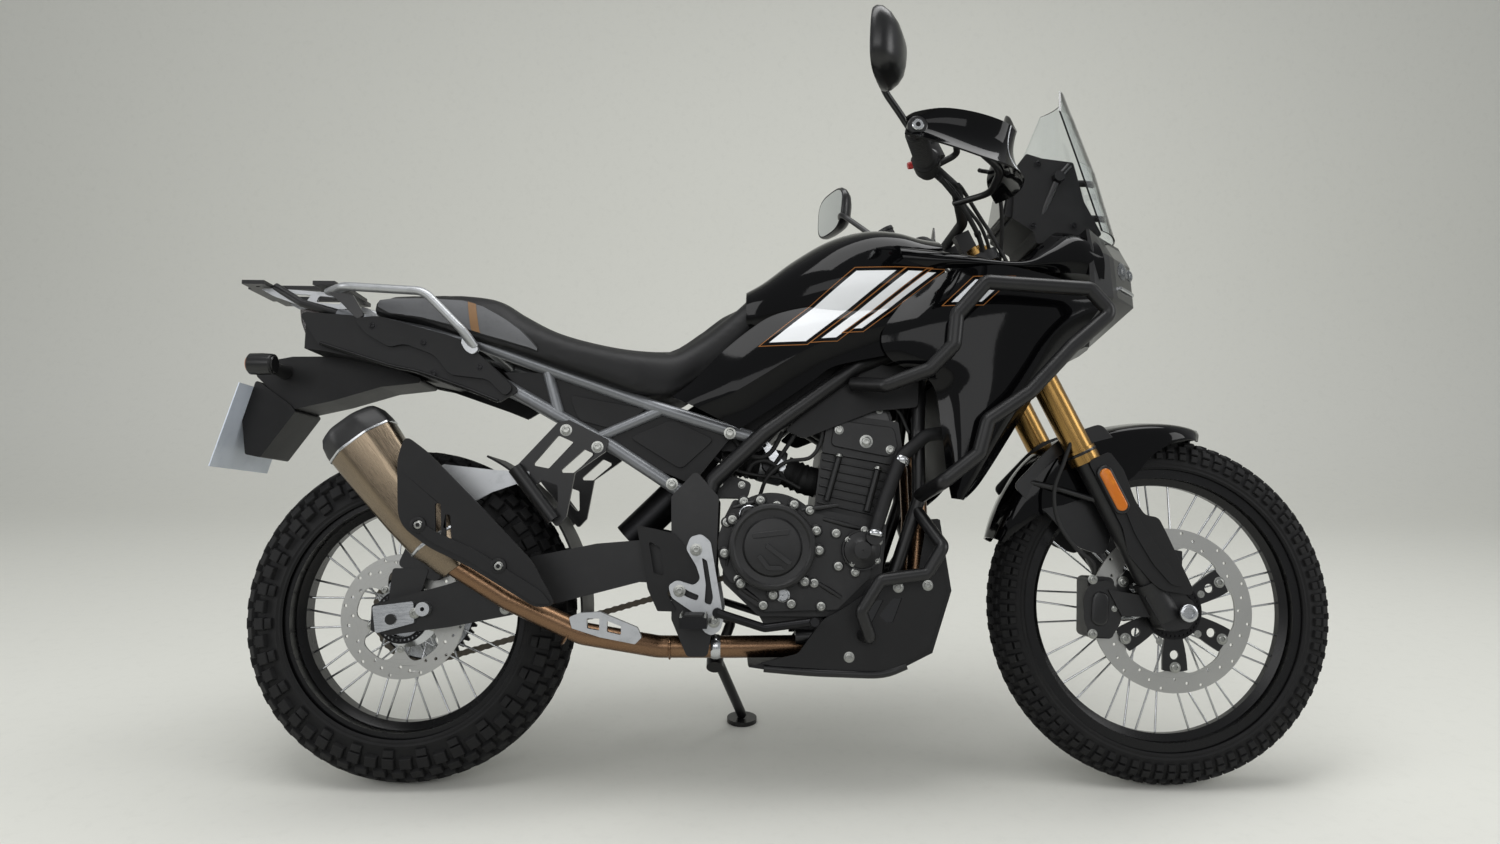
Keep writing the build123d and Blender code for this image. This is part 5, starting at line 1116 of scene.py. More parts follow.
print("fork guards made")

# %% Mudguard
MUDGUARD = [                   # angle round the axle, crown radius, skirt's lower radius, share of the width
    (75, 371, 362, 0.22), (78, 372, 350, 0.55), (82, 372, 341, 0.78), (86, 372, 333, 0.92),
    (90, 372, 324, 1.0), (96, 373, 304, 1.0), (104, 375, 272, 1.0), (112, 379, 262, 1.0),
    (120, 387, 264, 1.0), (128, 391, 276, 1.0), (136, 387, 294, 1.0), (144, 380, 316, 0.98),
    (152, 373, 336, 0.9), (158, 369, 352, 0.72),
]


def mudguard(middle, rows, half, wall):
    """A beak over a wheel. Each row is one section: it climbs the skirt, bends over a shoulder 26 below the
    crown's radius and closes over a low ridge. Radius and angle become x and z by cosine and sine."""
    table = []
    for angle, crown, skirt, width in rows:
        mid, share = (crown - 26 + skirt) / 2, half * width
        profile = [(-1.0, skirt), (-1.02, mid), (-1.0, crown - 20), (-0.84, crown - 7), (-0.46, crown - 1),
                   (0, crown + 3)]
        profile += [(-y, r) for y, r in profile[-2::-1]]
        turn = math.radians(angle)
        table.append([(middle[0] + r * math.cos(turn), y * share, middle[2] + r * math.sin(turn))
                      for y, r in profile])
    return shell(smooth_grid(table, 4, 4), wall)


finished("front_mudguard", mudguard(FRONT_AXLE, MUDGUARD, 73, -3.0), plain_gloss, body="steering",
         replaces=("front_fender",), smooth=32)
SIDE = [(1268, 664), (1300, 690), (1376, 716), (1408, 676), (1408, 602), (1392, 500), (1372, 452),
        (1318, 470), (1257, 541), (1222, 560), (1196, 590)]
for side, word in BOTH_SIDES:
    plate(f"mudguard_side_{word}", SIDE, y_span(side, 70, 76), satin_black, corner=14, edge=2.0, segments=3,
          body="steering")
    arm = bent([(1222, side * 66, 600), (1290, side * 96, 580), (1352, side * 104, 560)], 20, 5)
    rod(f"mudguard_arm_{word}", arm, 6, frame_black, sides=14, body="steering")
print("mudguard made")

# %% [markdown]
# The caliper is held by two long bolts to the right fork leg. Its hose leaves the banjo at the top, follows
# the leg and climbs to the handlebar. Dark bands close the gold tubes where the lowers begin.

# %% Caliper, hose, axle end
RIGHT = np.array([0.0, -1.0, 0.0])
body_line = [(1334, 402), (1372, 408), (1392, 380), (1392, 330), (1372, 298), (1330, 300), (1318, 330),
             (1318, 376)]
plate("caliper_body", body_line, (-104, -94), cast_black, corner=12, edge=2.5, segments=3, body="steering")
finished("caliper_boss", pill(np.array([1350.0, -103.0, 352.0]), np.array([0.1, 0, 0.995]),
                              np.array([0.995, 0, -0.1]), RIGHT, 66, 34, 5.0), satin_black,
         body="steering", smooth=40)
bolts("caliper_bolts", [((1338, -103, 408), RIGHT_OUT, 6.5, 5), ((1334, -103, 304), RIGHT_OUT, 6.5, 5),
                        ((1378, -103, 352), RIGHT_OUT, 4.5, 4)], "steering")
hose = curve([(1342, -98, 412), (1336, -112, 440), (1300, -118, 470), (1268, -120, 520), (1262, -122, 580),
              (1284, -124, 640), (1300, -122, 700), (1262, -124, 770), (1222, -118, 850), (1180, -112, 940),
              (1190, -112, 1010), (1165, -100, 1080), (1130, -110, 1130), (1086, -160, 1165),
              (1064, -214, 1156)], 7)
rod("front_brake_hose", hose, 4.0, rubber, sides=12, body="steering")
ends = [(-134, 11), (-139, 17), (-143, 17), (-145, 15), (-145, 10), (-140, 9), (-140, 0.5), (-134, 0.5)]
lathe("front_axle_end", ends, (FRONT_AXLE[0], 0, FRONT_AXLE[2]), machined, steps=36, body="steering",
      smooth=50)
for side, word in BOTH_SIDES:
    foot = STEER_FOOT + AHEAD * 35 + LEFT * side * 105
    for at, (low, high, radius) in enumerate(((338, 352, 28.5), (352, 358, 30.0), (700, 706, 27.6))):
        line = [foot + ALONG * low, foot + ALONG * high]
        collar(f"fork_band_{word}_{at}", line, radius, satin_black, "steering", 1.2)
print("front end made")

# %% [markdown]
# ## Engine
# A black twin with its covers bolted on. The solids carry the large masses. What follows is the casting's
# surface: raised ribs on the covers, thin fins on the cylinders, the clutch cover's dished face, the
# filler, and a bolt at each flange lug.

# %% Covers
CLUTCH = np.array([713.0, 0.0, 467.0])
dish = [(-180, 81), (-186, 80), (-189, 77), (-190, 72), (-187, 68), (-186, 56), (-188, 54), (-192, 52),
        (-193, 48), (-193, 1), (-180, 1)]
lathe("clutch_dish", dish, CLUTCH, cast_black, steps=96, smooth=28)
LUG_CIRCLE = 90
lugs = np.radians((20, 62, 104, 146, 188, 230, 272, 314, 356))
lug = [(-118, 13), (-150, 12), (-152, 10), (-152, 1), (-118, 1)]
for at, spot in enumerate(around(CLUTCH, LUG_CIRCLE, lugs, 0)):
    lathe(f"clutch_lug_{at}", lug, spot, cast_black, steps=20)
bolts("clutch_bolts", [(spot, RIGHT_OUT, 5.5, 5) for spot in around(CLUTCH, LUG_CIRCLE, lugs, -152)])
RIBS = [                       # raised bars on the clutch dish and crankcase: corners, y of their tops
    ("rib_upper", [(676, 492), (744, 500), (744, 490), (676, 482)], -197),
    ("rib_slant", [(704, 474), (750, 440), (744, 433), (698, 467)], -197),
    ("rib_lower", [(684, 448), (704, 424), (736, 424), (730, 432), (708, 432), (692, 453)], -197),
]
for name, corners, top in RIBS:
    plate(f"cover_{name}", corners, (top, -190), cast_black, corner=3, arc=3, edge=1.2)
CASE_RIBS = [((640, 540), (700, 556)), ((770, 536), (840, 546)), ((812, 520), (890, 500)),
             ((852, 440), (905, 430)), ((800, 400), (846, 372)), ((640, 400), (690, 366)),
             ((628, 430), (640, 500))]
for at, (a, b) in enumerate(CASE_RIBS):
    line = np.array([(a[0], -137, a[1]), ((a[0] + b[0]) / 2, -139, (a[1] + b[1]) / 2), (b[0], -137, b[1])])
    rod(f"case_rib_{at}", line, [4, 5, 4], cast_black, sides=12)
BOLT_PLACES = [(660, 552), (723, 545), (786, 536), (836, 493), (840, 431), (794, 399), (751, 360), (698, 357),
               (650, 405), (632, 456), (628, 512), (807, 356), (880, 470), (872, 420)]
for at, (x, z) in enumerate(BOLT_PLACES):
    lathe(f"case_lug_{at}", [(-112, 12), (-140, 11), (-141, 9), (-141, 1), (-112, 1)], (x, 0, z), cast_black,
          steps=18)
bolts("case_bolts", [((x, -141, z), RIGHT_OUT, 5.5, 5) for x, z in BOLT_PLACES])
plug = [(-138, 17), (-146, 17), (-149, 15), (-149, 11), (-156, 10), (-158, 8), (-158, 1), (-138, 1)]
lathe("oil_filler", plug, (670, 0, 526), satin_black, steps=32)
lathe("oil_filler_ring", [(-138, 19), (-143, 19), (-144, 17.4), (-138, 17.2)], (670, 0, 526), machined,
      steps=36)
sight = [(-138, 13), (-143, 13), (-144, 11), (-142, 10), (-142, 1), (-138, 1)]
lathe("oil_window", sight, (735, 0, 376), machined, steps=32)
print("covers made")

# %% Cylinders and head
def fin(low, high, y, depth=7.0, wall=3.2):
    """A thin cooling rib between two points on the cylinder's face."""
    (x0, z0), (x1, z1) = low, high
    loop = [(x0, z0 - wall / 2), (x1, z1 - wall / 2), (x1, z1 + wall / 2), (x0, z0 + wall / 2)]
    return cut_plate(loop, y - depth, y)


fins = []
for share in np.linspace(0.12, 0.88, 6):
    a = (798 + (812 - 798) * share + 4, 540 + (650 - 540) * share)
    b = (936 + (952 - 936) * share - 6, 512 + (626 - 512) * share)
    fins.append(fin(a, b, -91))
bevelled(finished("cylinder_fins", joined(fins), cast_black, smooth=30), 0.8, 2)
for at, (a, b) in enumerate((((846, 640), (822, 556)), ((922, 616), (900, 536)))):
    line = np.array([(a[0], -102, a[1]), (b[0], -102, b[1])])
    rod(f"cylinder_stud_{at}", line, 6.5, cast_black, sides=16)
    bolts(f"cylinder_stud_cap_{at}", [((a[0], -102, a[1] + 2), (0.25, 0, 0.97), 6.5, 6)])
HEAD_PANEL = [(830, 664), (944, 642), (962, 660), (954, 700), (838, 714)]
plate("head_panel", HEAD_PANEL, (-107, -99), cast_black, corner=10, arc=4, edge=2.4, segments=3)
CAM_PANEL = [(848, 726), (950, 712), (938, 742), (902, 756), (862, 746)]
plate("cam_cover_panel", CAM_PANEL, (-91, -83), satin_black, corner=9, arc=4, edge=2.4, segments=3)
bolts("head_bolts", [((899, -107, 672), RIGHT_OUT, 9, 6), ((946, -107, 656), RIGHT_OUT, 6, 5),
                     ((846, -107, 694), RIGHT_OUT, 6, 5), ((862, -91, 738), RIGHT_OUT, 5, 4),
                     ((928, -91, 736), RIGHT_OUT, 5, 4)])
PUMP_PLACES = [(888, 500), (916, 478), (912, 442), (866, 437), (858, 480)]
bolts("pump_bolts", [((x, -152, z), RIGHT_OUT, 4.5, 5) for x, z in PUMP_PLACES])
pump = [(-150, 36), (-156, 34), (-158, 28), (-160, 20), (-164, 16), (-165, 1), (-150, 1)]
lathe("pump_face", pump, (884, 0, 462), cast_black, steps=48)
for at, (a, b) in enumerate((((906, -166, 488), (908, -165, 498)), ((961, -140, 628), (966, -140, 640)))):
    collar(f"hose_clip_{at}", [a, b], 14.2, bright_steel, "chassis", 1.6)
WIRES = [[(700, -70, 600), (730, -96, 640), (770, -100, 700), (800, -92, 742), (860, -80, 770)],
         [(690, -90, 560), (706, -104, 600), (742, -110, 630), (790, -112, 640), (812, -106, 680),
          (806, -98, 730)],
         [(846, -60, 770), (900, -84, 772), (960, -92, 740), (986, -96, 690)]]
for at, places in enumerate(WIRES):
    rod(f"engine_wire_{at}", curve(places, 8), 4.2 - at * 0.4, rubber, sides=12)
print("cylinders and head made")

# %% [markdown]
# Above the cylinder head a plain black cover closes the space under the tank.

# %% Cover under the tank
UNDER = [(740, 692), (776, 676), (916, 732), (1000, 740), (1004, 812), (912, 826), (880, 818)]
for side, word in BOTH_SIDES:
    plate(f"under_cover_{word}", UNDER, y_span(side, 108, 114), matt_black, corner=8, edge=2.5, segments=3)

# %% [markdown]
# Behind the cylinder, under the frame's spar, sits the throttle body with its rubber boots, and a small
# silver bracket holds the plugs of its wires. The sump guard's sides have two slanted windows.

# %% Throttle body and plugs
boot_back = curve([(618, -20, 640), (650, -22, 640), (676, -24, 636), (694, -24, 632)], 4)
boot_front = curve([(742, -26, 620), (762, -26, 610), (786, -24, 600), (806, -20, 596)], 4)
ribs = 1 + 0.07 * np.sin(np.arange(len(boot_back)) * np.pi * 0.9)
rod("intake_boot_rear", boot_back, 34 * ribs, rubber, sides=28)
rod("intake_boot_front", boot_front, 30 * ribs, rubber, sides=28)
barrel = [(692, -24, 633), (696, -24, 632), (738, -26, 622), (742, -26, 621)]
rod("throttle_barrel", barrel, [33, 36, 36, 33], cast_silver, sides=32, smooth=40)
spindle = [(716, -58, 628), (716, -62, 628), (716, -76, 628), (716, -78, 628)]
rod("throttle_wheel", spindle, [20, 21, 21, 19], dark_steel, sides=28, smooth=40)
plug_plate = [(690, 672), (702, 676), (722, 656), (744, 622), (736, 612), (722, 618), (708, 642)]
plate("plug_bracket", plug_plate, (-92, -88), machined, corner=5, arc=4,
      holes=[circle((700, 664), 4, 14), circle((732, 624), 4, 14)], edge=0.8)
for number, places in enumerate((
        [(640, -96, 676), (660, -98, 650), (690, -96, 640), (714, -94, 652), (736, -90, 690)],
        [(600, -88, 640), (640, -92, 616), (690, -94, 604), (730, -92, 600), (770, -88, 580)],
        [(664, -84, 600), (676, -90, 626), (700, -92, 634), (724, -90, 622), (740, -80, 596)],
        [(590, -100, 600), (612, -104, 622), (644, -102, 636), (664, -98, 668), (690, -92, 700)])):
    rod(f"engine_wire_{number}", curve(places, 8), 3.4 if number % 2 else 4.6, rubber, sides=10)
plate("starter_cover", [(596, 560), (604, 596), (640, 604), (676, 590), (668, 560)], (-86, -40), cast_black,
      corner=9, arc=4, edge=3, segments=3)
bolts("starter_bolts", [((x, -86, z), RIGHT_OUT, 5, 4) for x, z in ((612, 588), (656, 586))])
print("throttle body made")

# %% Sump guard sides
GUARD_SIDE = [(690, 250), (745, 240), (928, 232), (1010, 276), (1046, 386), (1036, 424), (952, 418),
              (850, 352), (812, 332), (764, 268)]
GUARD_WINDOWS = [[(912, 367), (926, 369), (903, 325), (882, 325)],
                 [(943, 371), (961, 372), (943, 326), (930, 326), (918, 340)]]
for side, word in BOTH_SIDES:
    plate(f"sump_side_{word}", GUARD_SIDE, y_span(side, 132.5, 137), matt_black, corner=7, arc=4,
          holes=[rounded(w, 2.5, 3) for w in GUARD_WINDOWS], edge=1.4)
    # Each window is closed from behind by a near-black glossy sheet: painted shade for the dark space inside
    # the guard.
    finished(f"sump_window_shade_sheet_{word}", joined([cut_plate(rounded(w, 2.5, 3), *y_span(side, 132, 133.2))
                                                 for w in GUARD_WINDOWS]), display_glass,
             smooth=30)
    edge = bent([(700, side * 131, 240), (790, side * 134, 233), (926, side * 134, 229),
                 (968, side * 131, 246)], 30, 5)
    rod(f"sump_rail_{word}", edge, 7.5, frame_black, sides=14)
bolts("sump_bolts", both_sides(137, 7, 4.5, ((954, 392), (1010, 396), (860, 262))))
print("sump guard made")

# %% [markdown]
# ## Cockpit
# Seen from the side the cockpit is a thin clear screen on a black tower, a display, two mirrors on stalks, a
# handguard over each grip, and the hoses that drop from the bar to the frame. The mirrors, handguards and bar
# controls ride on the steering, so these pieces are drawn along the steering axis; the display, the screen's
# knobs and arms and the hoses do not turn with it.

# %% Grips, switches and levers
BAR_TIP = np.array([-82.0, 425.0, 985.0])


def along_bar(share, ahead=0.0, up=0.0):
    """A point on the grip's line: share 0 at its inner end and 1 at the tip, then moved ahead and up."""
    inner = np.array([-45.0, 300.0, 965.0])
    return inner + (BAR_TIP - inner) * share + np.array([ahead, 0.0, up])


def to_side(points, side):
    """Steering points carried to the upright machine, on the left (1) or mirrored to the right (-1)."""
    return steered(np.asarray(points, float) * (1, side, 1))


for side, word in BOTH_SIDES:
    ribs = []
    for share in np.linspace(0.12, 0.92, 15):
        ribs.append(tube(to_side([along_bar(share - 0.012), along_bar(share), along_bar(share + 0.012)],
                                 side), [17.0, 18.6, 17.0], 24))
    finished(f"grip_ribs_{word}", joined(ribs), rubber, body="steering", smooth=40)
    rod(f"grip_flange_{word}", to_side([along_bar(0.04), along_bar(0.05), along_bar(0.07), along_bar(0.08)],
                                       side), [18, 23, 23, 18], rubber, sides=28, body="steering", smooth=40)
    box = to_side([along_bar(-0.2, 2, 4), along_bar(-0.17, 2, 4), along_bar(-0.04, 2, 4),
                   along_bar(-0.01, 2, 4)], side)
    rod(f"switch_housing_{word}", box, [20, 26, 27, 21], satin_black, sides=24, flat=0.85, body="steering",
        smooth=35)
    knob = to_side([along_bar(-0.12, -24, 10), along_bar(-0.12, -32, 12)], side)
    rod(f"switch_button_{word}", knob, [7, 6], red_plastic if side < 0 else satin_black, sides=16,
        body="steering", smooth=40)
    cap = to_side([along_bar(-0.36, 22, 42), along_bar(-0.36, 22, 44), along_bar(-0.36, 22, 50)], side)
    rod(f"reservoir_cap_{word}", cap, [21, 21, 20], satin_black, sides=28, body="steering", smooth=35)
print("controls made")

# %% Mirrors
HEAD_MIDDLE = np.array([896.0, 425.0, 1314.0])     # upright place of the left mirror's middle
TOE_IN = math.radians(20)


def mirror_ring(back, width, height, drop=0.0, sides=40):
    """One outline of the left mirror's head: a superellipse of power 3.2 whose lower outer corner is cut
    back, set back millimetres along the glass's normal, which points to the rider's eyes."""
    turn = full_turn(sides)
    c, s = np.cos(turn), np.sin(turn)
    across = width / 2 * np.sign(c) * np.abs(c) ** (2 / 3.2)
    up = height / 2 * np.sign(s) * np.abs(s) ** (2 / 3.2) + drop
    across = across * (1 + 0.12 * up / height)
    out = np.array([-math.sin(TOE_IN), math.cos(TOE_IN), 0.0])
    ahead = np.array([math.cos(TOE_IN), math.sin(TOE_IN), 0.0])
    lean = np.array([0.07, 0.0, 1.0])
    return HEAD_MIDDLE + across[:, None] * out + up[:, None] * lean + back * ahead


def on_side(points, side):
    """Upright points of the left piece, or mirrored to the right for side -1."""
    return np.asarray(points, float) * (1, side, 1)


for side, word in BOTH_SIDES:
    rings = [mirror_ring(*row) for row in ((-13, 138, 108), (-15, 144, 114), (-10, 148, 118),
                                           (0, 146, 115, -1), (12, 130, 98, -3), (22, 100, 74, -6),
                                           (28, 60, 46, -9), (30, 26, 20, -10))]
    finished(f"mirror_shell_{word}", closed_grid(on_side(rings, side)), satin_black, body="steering",
             replaces=("mirrors",) if side < 0 else (), smooth=40)
    rings = [mirror_ring(*row) for row in ((-13.5, 136, 106), (-15.6, 136, 106), (-15.8, 132, 102))]
    finished(f"mirror_glass_{word}", closed_grid(on_side(rings, side)), mirror_glass, body="steering",
             smooth=20)
    root = steered([(-30, 270, 958), (-32, 282, 1000), (-50, 312, 1060), (-66, 342, 1106)])
    top = HEAD_MIDDLE + np.array([[12, -40, -34], [22, -22, -24], [26, -8, -14]])
    stalk = curve(np.vstack([root, top]), 6)
    rod(f"mirror_stalk_{word}", on_side(stalk, side), np.linspace(7.0, 5.6, len(stalk)), satin_black,
        sides=16, body="steering")
    boot = curve(steered([(-30, 270, 950), (-30, 272, 964), (-31, 278, 986), (-34, 285, 1006)]), 4)
    rod(f"mirror_boot_{word}", on_side(boot, side), np.interp(np.arange(len(boot)), [0, 4, 8, 12],
                                                              [13, 13, 10.5, 8]), rubber, body="steering")
    rod(f"mirror_ball_{word}", on_side(curve(top[:2], 3), side), [7, 10.5, 12, 9], satin_black,
        body="steering")
print("mirrors made")

# %% Headlamp lenses
lenses, strips = [], []
for side in (-1, 1):
    for ahead, out, up, radius in ((278.5, 80, 96, 19), (305, 48, 96, 14)):
        way = np.array([0.75, side * 0.66, 0.0])
        path = from_head([(ahead, side * out, up)] * 5) + np.outer([-6, 1, 4, 7, 8.5], way)
        lenses.append(tube(path, [radius, radius, radius * 0.86, radius * 0.55, radius * 0.2], 32))
    edge = from_head([(316, 0, 56), (316, side * 45, 56), (287, side * 80, 56), (264, side * 106, 56)])
    strips.append(tube(bent(edge, 14, 4), 3.6, 10))
finished("headlamp_lenses", joined(lenses), lamp_clear, smooth=30)
finished("headlamp_strips", joined(strips), bright_steel, smooth=30)
print("headlamp lenses made")

# %% [markdown]
# Each handguard is a gloss shell that starts at a silver bolt in the bar's end, runs ahead of the lever
# and turns inwards. A low fin stands on its front edge, and a darker strut under it carries it inboard.

# %% Handguards
GUARD_ROWS = [                 # (x, y), lowest z, highest z of the left shell, from the bar's end inwards
    (922, 444, 1154, 1184), (940, 450, 1146, 1192), (985, 457, 1130, 1196), (1040, 454, 1112, 1190),
    (1092, 436, 1102, 1182), (1120, 404, 1098, 1180), (1130, 362, 1096, 1206), (1130, 318, 1098, 1246),
    (1126, 286, 1102, 1206), (1118, 250, 1108, 1176),
]


def guard_shell(rows):
    """The shell's points: seven heights in each row, pushed outwards by a sine as a crown."""
    table = np.asarray(rows, float)
    way = np.gradient(table[:, :2], axis=0)
    out = np.column_stack([way[:, 1], -way[:, 0]])
    out /= -np.linalg.norm(out, axis=1, keepdims=True)
    share = np.linspace(0, 1, 7)
    crown = 9 * np.sin(np.pi * share) - 10 * (1 - share) ** 2
    plan = table[:, None, :2] - out[:, None] * crown[None, :, None]
    height = table[:, 2:3] + (table[:, 3:4] - table[:, 2:3]) * share
    return np.dstack([plan, height])


SEAM_ROW = 26
for side, word in BOTH_SIDES:
    grid = smooth_grid(guard_shell(GUARD_ROWS), 6, 3)
    finished(f"handguard_{word}", shell(on_side(grid, side), 3.2 * side), plain_gloss, body="steering",
             replaces=("handguards",) if side < 0 else (), smooth=40)
    rod(f"handguard_seam_{word}", on_side(grid[SEAM_ROW], side), 1.1, machined, sides=8, body="steering")
    strut = bent([(942, 436, 1168), (1040, 434, 1140), (1100, 380, 1120), (1106, 290, 1112),
                  (1050, 236, 1110)], 26, 6)
    rod(f"handguard_strut_{word}", on_side(strut, side), 8, satin_black, sides=14, flat=0.7, body="steering")
    tip = steered(BAR_TIP)
    for name, radii, material, start, stop in (("boss", (17, 17, 15), satin_black, 6, 25),
                                               ("bolt", (10, 10, 8.6), bright_steel, 22, 29),
                                               ("socket", (4.4, 4.4, 4.0), dark_steel, 26, 29.6)):
        line = tip + np.array([[0, start, 0], [0, stop - 1.4, 0], [0, stop, 0]])
        rod(f"bar_end_{name}_{word}", on_side(line, side), radii, material, sides=28,
            body="steering", smooth=35)
print("handguards made")

# %% [markdown]
# The screen is one clear sheet with a shiny cut edge. Its two knobs sit behind it, each on a short arm. The
# display is a dark glass slab in a thin frame that faces the rider.

# %% Screen fittings and display
slab = cut_plate(from_head([(44, 0, 214), (61, 0, 300), (70, 0, 298), (53, 0, 212)])[:, [0, 2]], -70, 70)
bevelled(finished("display_frame", slab, satin_black, smooth=30), 3.0, 3)
face = cut_plate(from_head([(42.6, 0, 222), (57, 0, 293), (58, 0, 293), (44, 0, 221)])[:, [0, 2]], -63, 63)
finished("display_glass", face, display_glass, smooth=20)
for side, word in BOTH_SIDES:
    knob = from_head([(150, side * 92, 290), (150, side * 104, 290)])
    rod(f"screen_knob_{word}", knob, [13, 11], satin_black, sides=9, smooth=30)
    arm = from_head([(118, side * 84, 214), (150, side * 92, 290), (176, side * 88, 318)])
    rod(f"screen_arm_{word}", bent(arm, 14, 5), 6, satin_black, sides=14, flat=0.7)
bolts("tower_bolts", [((HEAD[0] + x, side * 89, HEAD[2] + z), (0, side, 0), 5, 4) for side in (-1, 1)
                      for x, z in ((96, 190), (180, 190), (110, 320))], "chassis", dark_steel)
print("screen and display made")

# %% [markdown]
# Hoses and cables drop from the bar into the frame. Each is a plain cord on no body, so it does not follow
# the bar when it turns.

# %% Cables
CABLES = [                     # name, centreline on the upright machine, radius
    ("throttle_cable", [(1000, -276, 1152), (1036, -256, 1140), (1080, -210, 1112), (1118, -170, 1086),
                        (1146, -126, 1044), (1150, -88, 990), (1140, -70, 950)], 3.6),
    ("switch_harness", [(1012, -290, 1140), (1052, -240, 1122), (1092, -190, 1094), (1124, -146, 1058),
                        (1138, -104, 1006), (1132, -80, 960), (1120, -66, 930)], 5.0),
    ("front_brake_line", [(1092, -262, 1166), (1130, -220, 1172), (1160, -160, 1140), (1174, -110, 1080),
                          (1172, -78, 1010), (1160, -62, 950)], 4.0),
    ("clutch_cable", [(1016, 276, 1152), (1060, 232, 1140), (1110, 176, 1110), (1146, 120, 1052),
                      (1150, 86, 990), (1140, 68, 950)], 3.6),
]
for name, places, radius in CABLES:
    path = curve(places, 8)
    cable = rod(name, path, radius, rubber, sides=12, body=None)
    top, bottom = leaned(path[[4, -8]])
    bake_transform(cable)
    print(name, round(float(np.linalg.norm(np.diff(path, axis=0), axis=1).sum())), "mm long")
ties = []
for share in (0.42, 0.6):
    run = curve(CABLES[1][1], 8)
    at = int(share * len(run))
    ties.append(tube(run[at:at + 2], 6.6, 14))
cable_ties = finished("cable_ties", joined(ties), satin_black, body=None)
top, bottom = leaned(curve(CABLES[1][1], 8)[[4, -8]])
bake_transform(cable_ties)
print("cables made")

# %% [markdown]
# ## Seat cover and tail
# The seat's foam is pressed from inside by a short cloth simulation. Its grey side panel, the tan band and
# the seams are laid on the pressed shape afterwards: each of their points is dropped sideways onto it.

# %% Press the seat, then lay the grey sides on it
def pressed(piece, voxel=0.007, pressure=4.0, cap=0.006):
    """A pad remeshed into even cells and pushed out by Cloth pressure for 20 frames. No point moves further
    than the cap, and points that face down stay, so the base keeps lying on the frame."""
    cells = piece.modifiers.new("cells", "REMESH")
    cells.mode, cells.voxel_size = "VOXEL", voxel
    graph = bpy.context.evaluated_depsgraph_get()
    mesh = bpy.data.meshes.new_from_object(piece.evaluated_get(graph))
    piece.modifiers.clear()
    piece.data = mesh
    count = len(mesh.vertices)
    start, end, normal = np.zeros(3 * count), np.zeros(3 * count), np.zeros(3 * count)
    mesh.vertices.foreach_get("co", start)
    mesh.vertices.foreach_get("normal", normal)
    cloth = piece.modifiers.new("cloth", "CLOTH").settings
    cloth.use_pressure, cloth.uniform_pressure_force = True, pressure
    cloth.effector_weights.gravity = 0.0
    for number in range(1, 21):
        bpy.context.scene.frame_set(number)
    graph = bpy.context.evaluated_depsgraph_get()
    piece.evaluated_get(graph).data.vertices.foreach_get("co", end)
    piece.modifiers.clear()
    bpy.context.scene.frame_set(1)
    move = (end - start).reshape(-1, 3)
    size = np.linalg.norm(move, axis=1, keepdims=True)
    move *= np.minimum(1.0, cap / np.maximum(size, 1e-9))
    move *= np.clip(normal.reshape(-1, 3)[:, 2:3] * 2 + 1.0, 0, 1)
    mesh.vertices.foreach_set("co", start + move.ravel())
    print("cloth moved the seat by up to", round(float(np.linalg.norm(move, axis=1).max()) * 1000, 1),
          "mm")
    mesh.update()
    shaded(mesh, 70)
    return smoothed(piece, 1)


pressed(seat_foam)
flat = np.zeros(3 * len(seat_foam.data.vertices))
seat_foam.data.vertices.foreach_get("co", flat)
seat_upright = (flat.reshape(-1, 3) - SHIFT) @ TURN * 1000
seat_tree = BVHTree.FromPolygons(seat_upright.tolist(), [list(f.vertices) for f in seat_foam.data.polygons])


def laid(x, z, side, lift):
    """The point where a line across the machine at (x, z) first meets the seat, lifted off it."""
    spot, normal, _, _ = seat_tree.ray_cast(Vector((x, side * 260, z)), Vector((0, -side, 0)))
    if spot is None:
        spot, normal, _, _ = seat_tree.find_nearest(Vector((x, side * 150, z)))
    if normal.y * side < 0:
        normal = -normal
    return np.array(spot) + np.array(normal) * lift


PANEL = [(-74, 937, 949), (-40, 917, 949), (30, 904, 945), (110, 882, 939), (150, 869, 926), (190, 858, 903),
         (225, 848, 878), (248, 841, 856), (262, 836, 840)]       # x, lowest z, highest z


def laid_band(places, heights, side, lift, wall):
    """A thin sheet laid on the seat: one column of points for each x, at shares of the height there."""
    x, low, high = np.array(PANEL, float).T
    share = np.linspace(0.03, 0.97, heights)
    rows = []
    for centre, slant in places:
        rows.append([laid(centre + slant * s, np.interp(centre + slant * s, x, low) * (1 - s)
                          + np.interp(centre + slant * s, x, high) * s, side, lift) for s in share])
    return shell(np.array(rows), wall * -side)


parts, bands, borders = [], [], []
for side in (-1, 1):
    parts.append(laid_band([(v, 0) for v in np.linspace(-73, 261, 56)], 10, side, 1.6, 2.4))
    bands.append(laid_band([(v, -14) for v in np.linspace(132, 149, 5)], 12, side, 2.6, 2.4))
    x, low, high = np.array(PANEL, float).T
    steps = np.linspace(-73, 261, 50)
    for line in (low, high):
        run = [laid(v, float(np.interp(v, x, line)), side, 1.4) for v in steps]
        borders.append(tube(curve(run, 2), 1.7, 8))
finished("seat_side_vinyl", joined(parts), grey_vinyl, smooth=60)
finished("seat_side_band", joined(bands), tan_vinyl, smooth=60)
finished("seat_seams", joined(borders), seat_thread, smooth=60)
print("seat dressed:", len(seat_foam.data.polygons), "faces")

# %% [markdown]
# Behind the seat: a flat cast grab rail each side, a bracket under the rack, a folded tail panel, the tail
# lamp's smoked lens over bright strips, and two round indicators on rubber stalks.

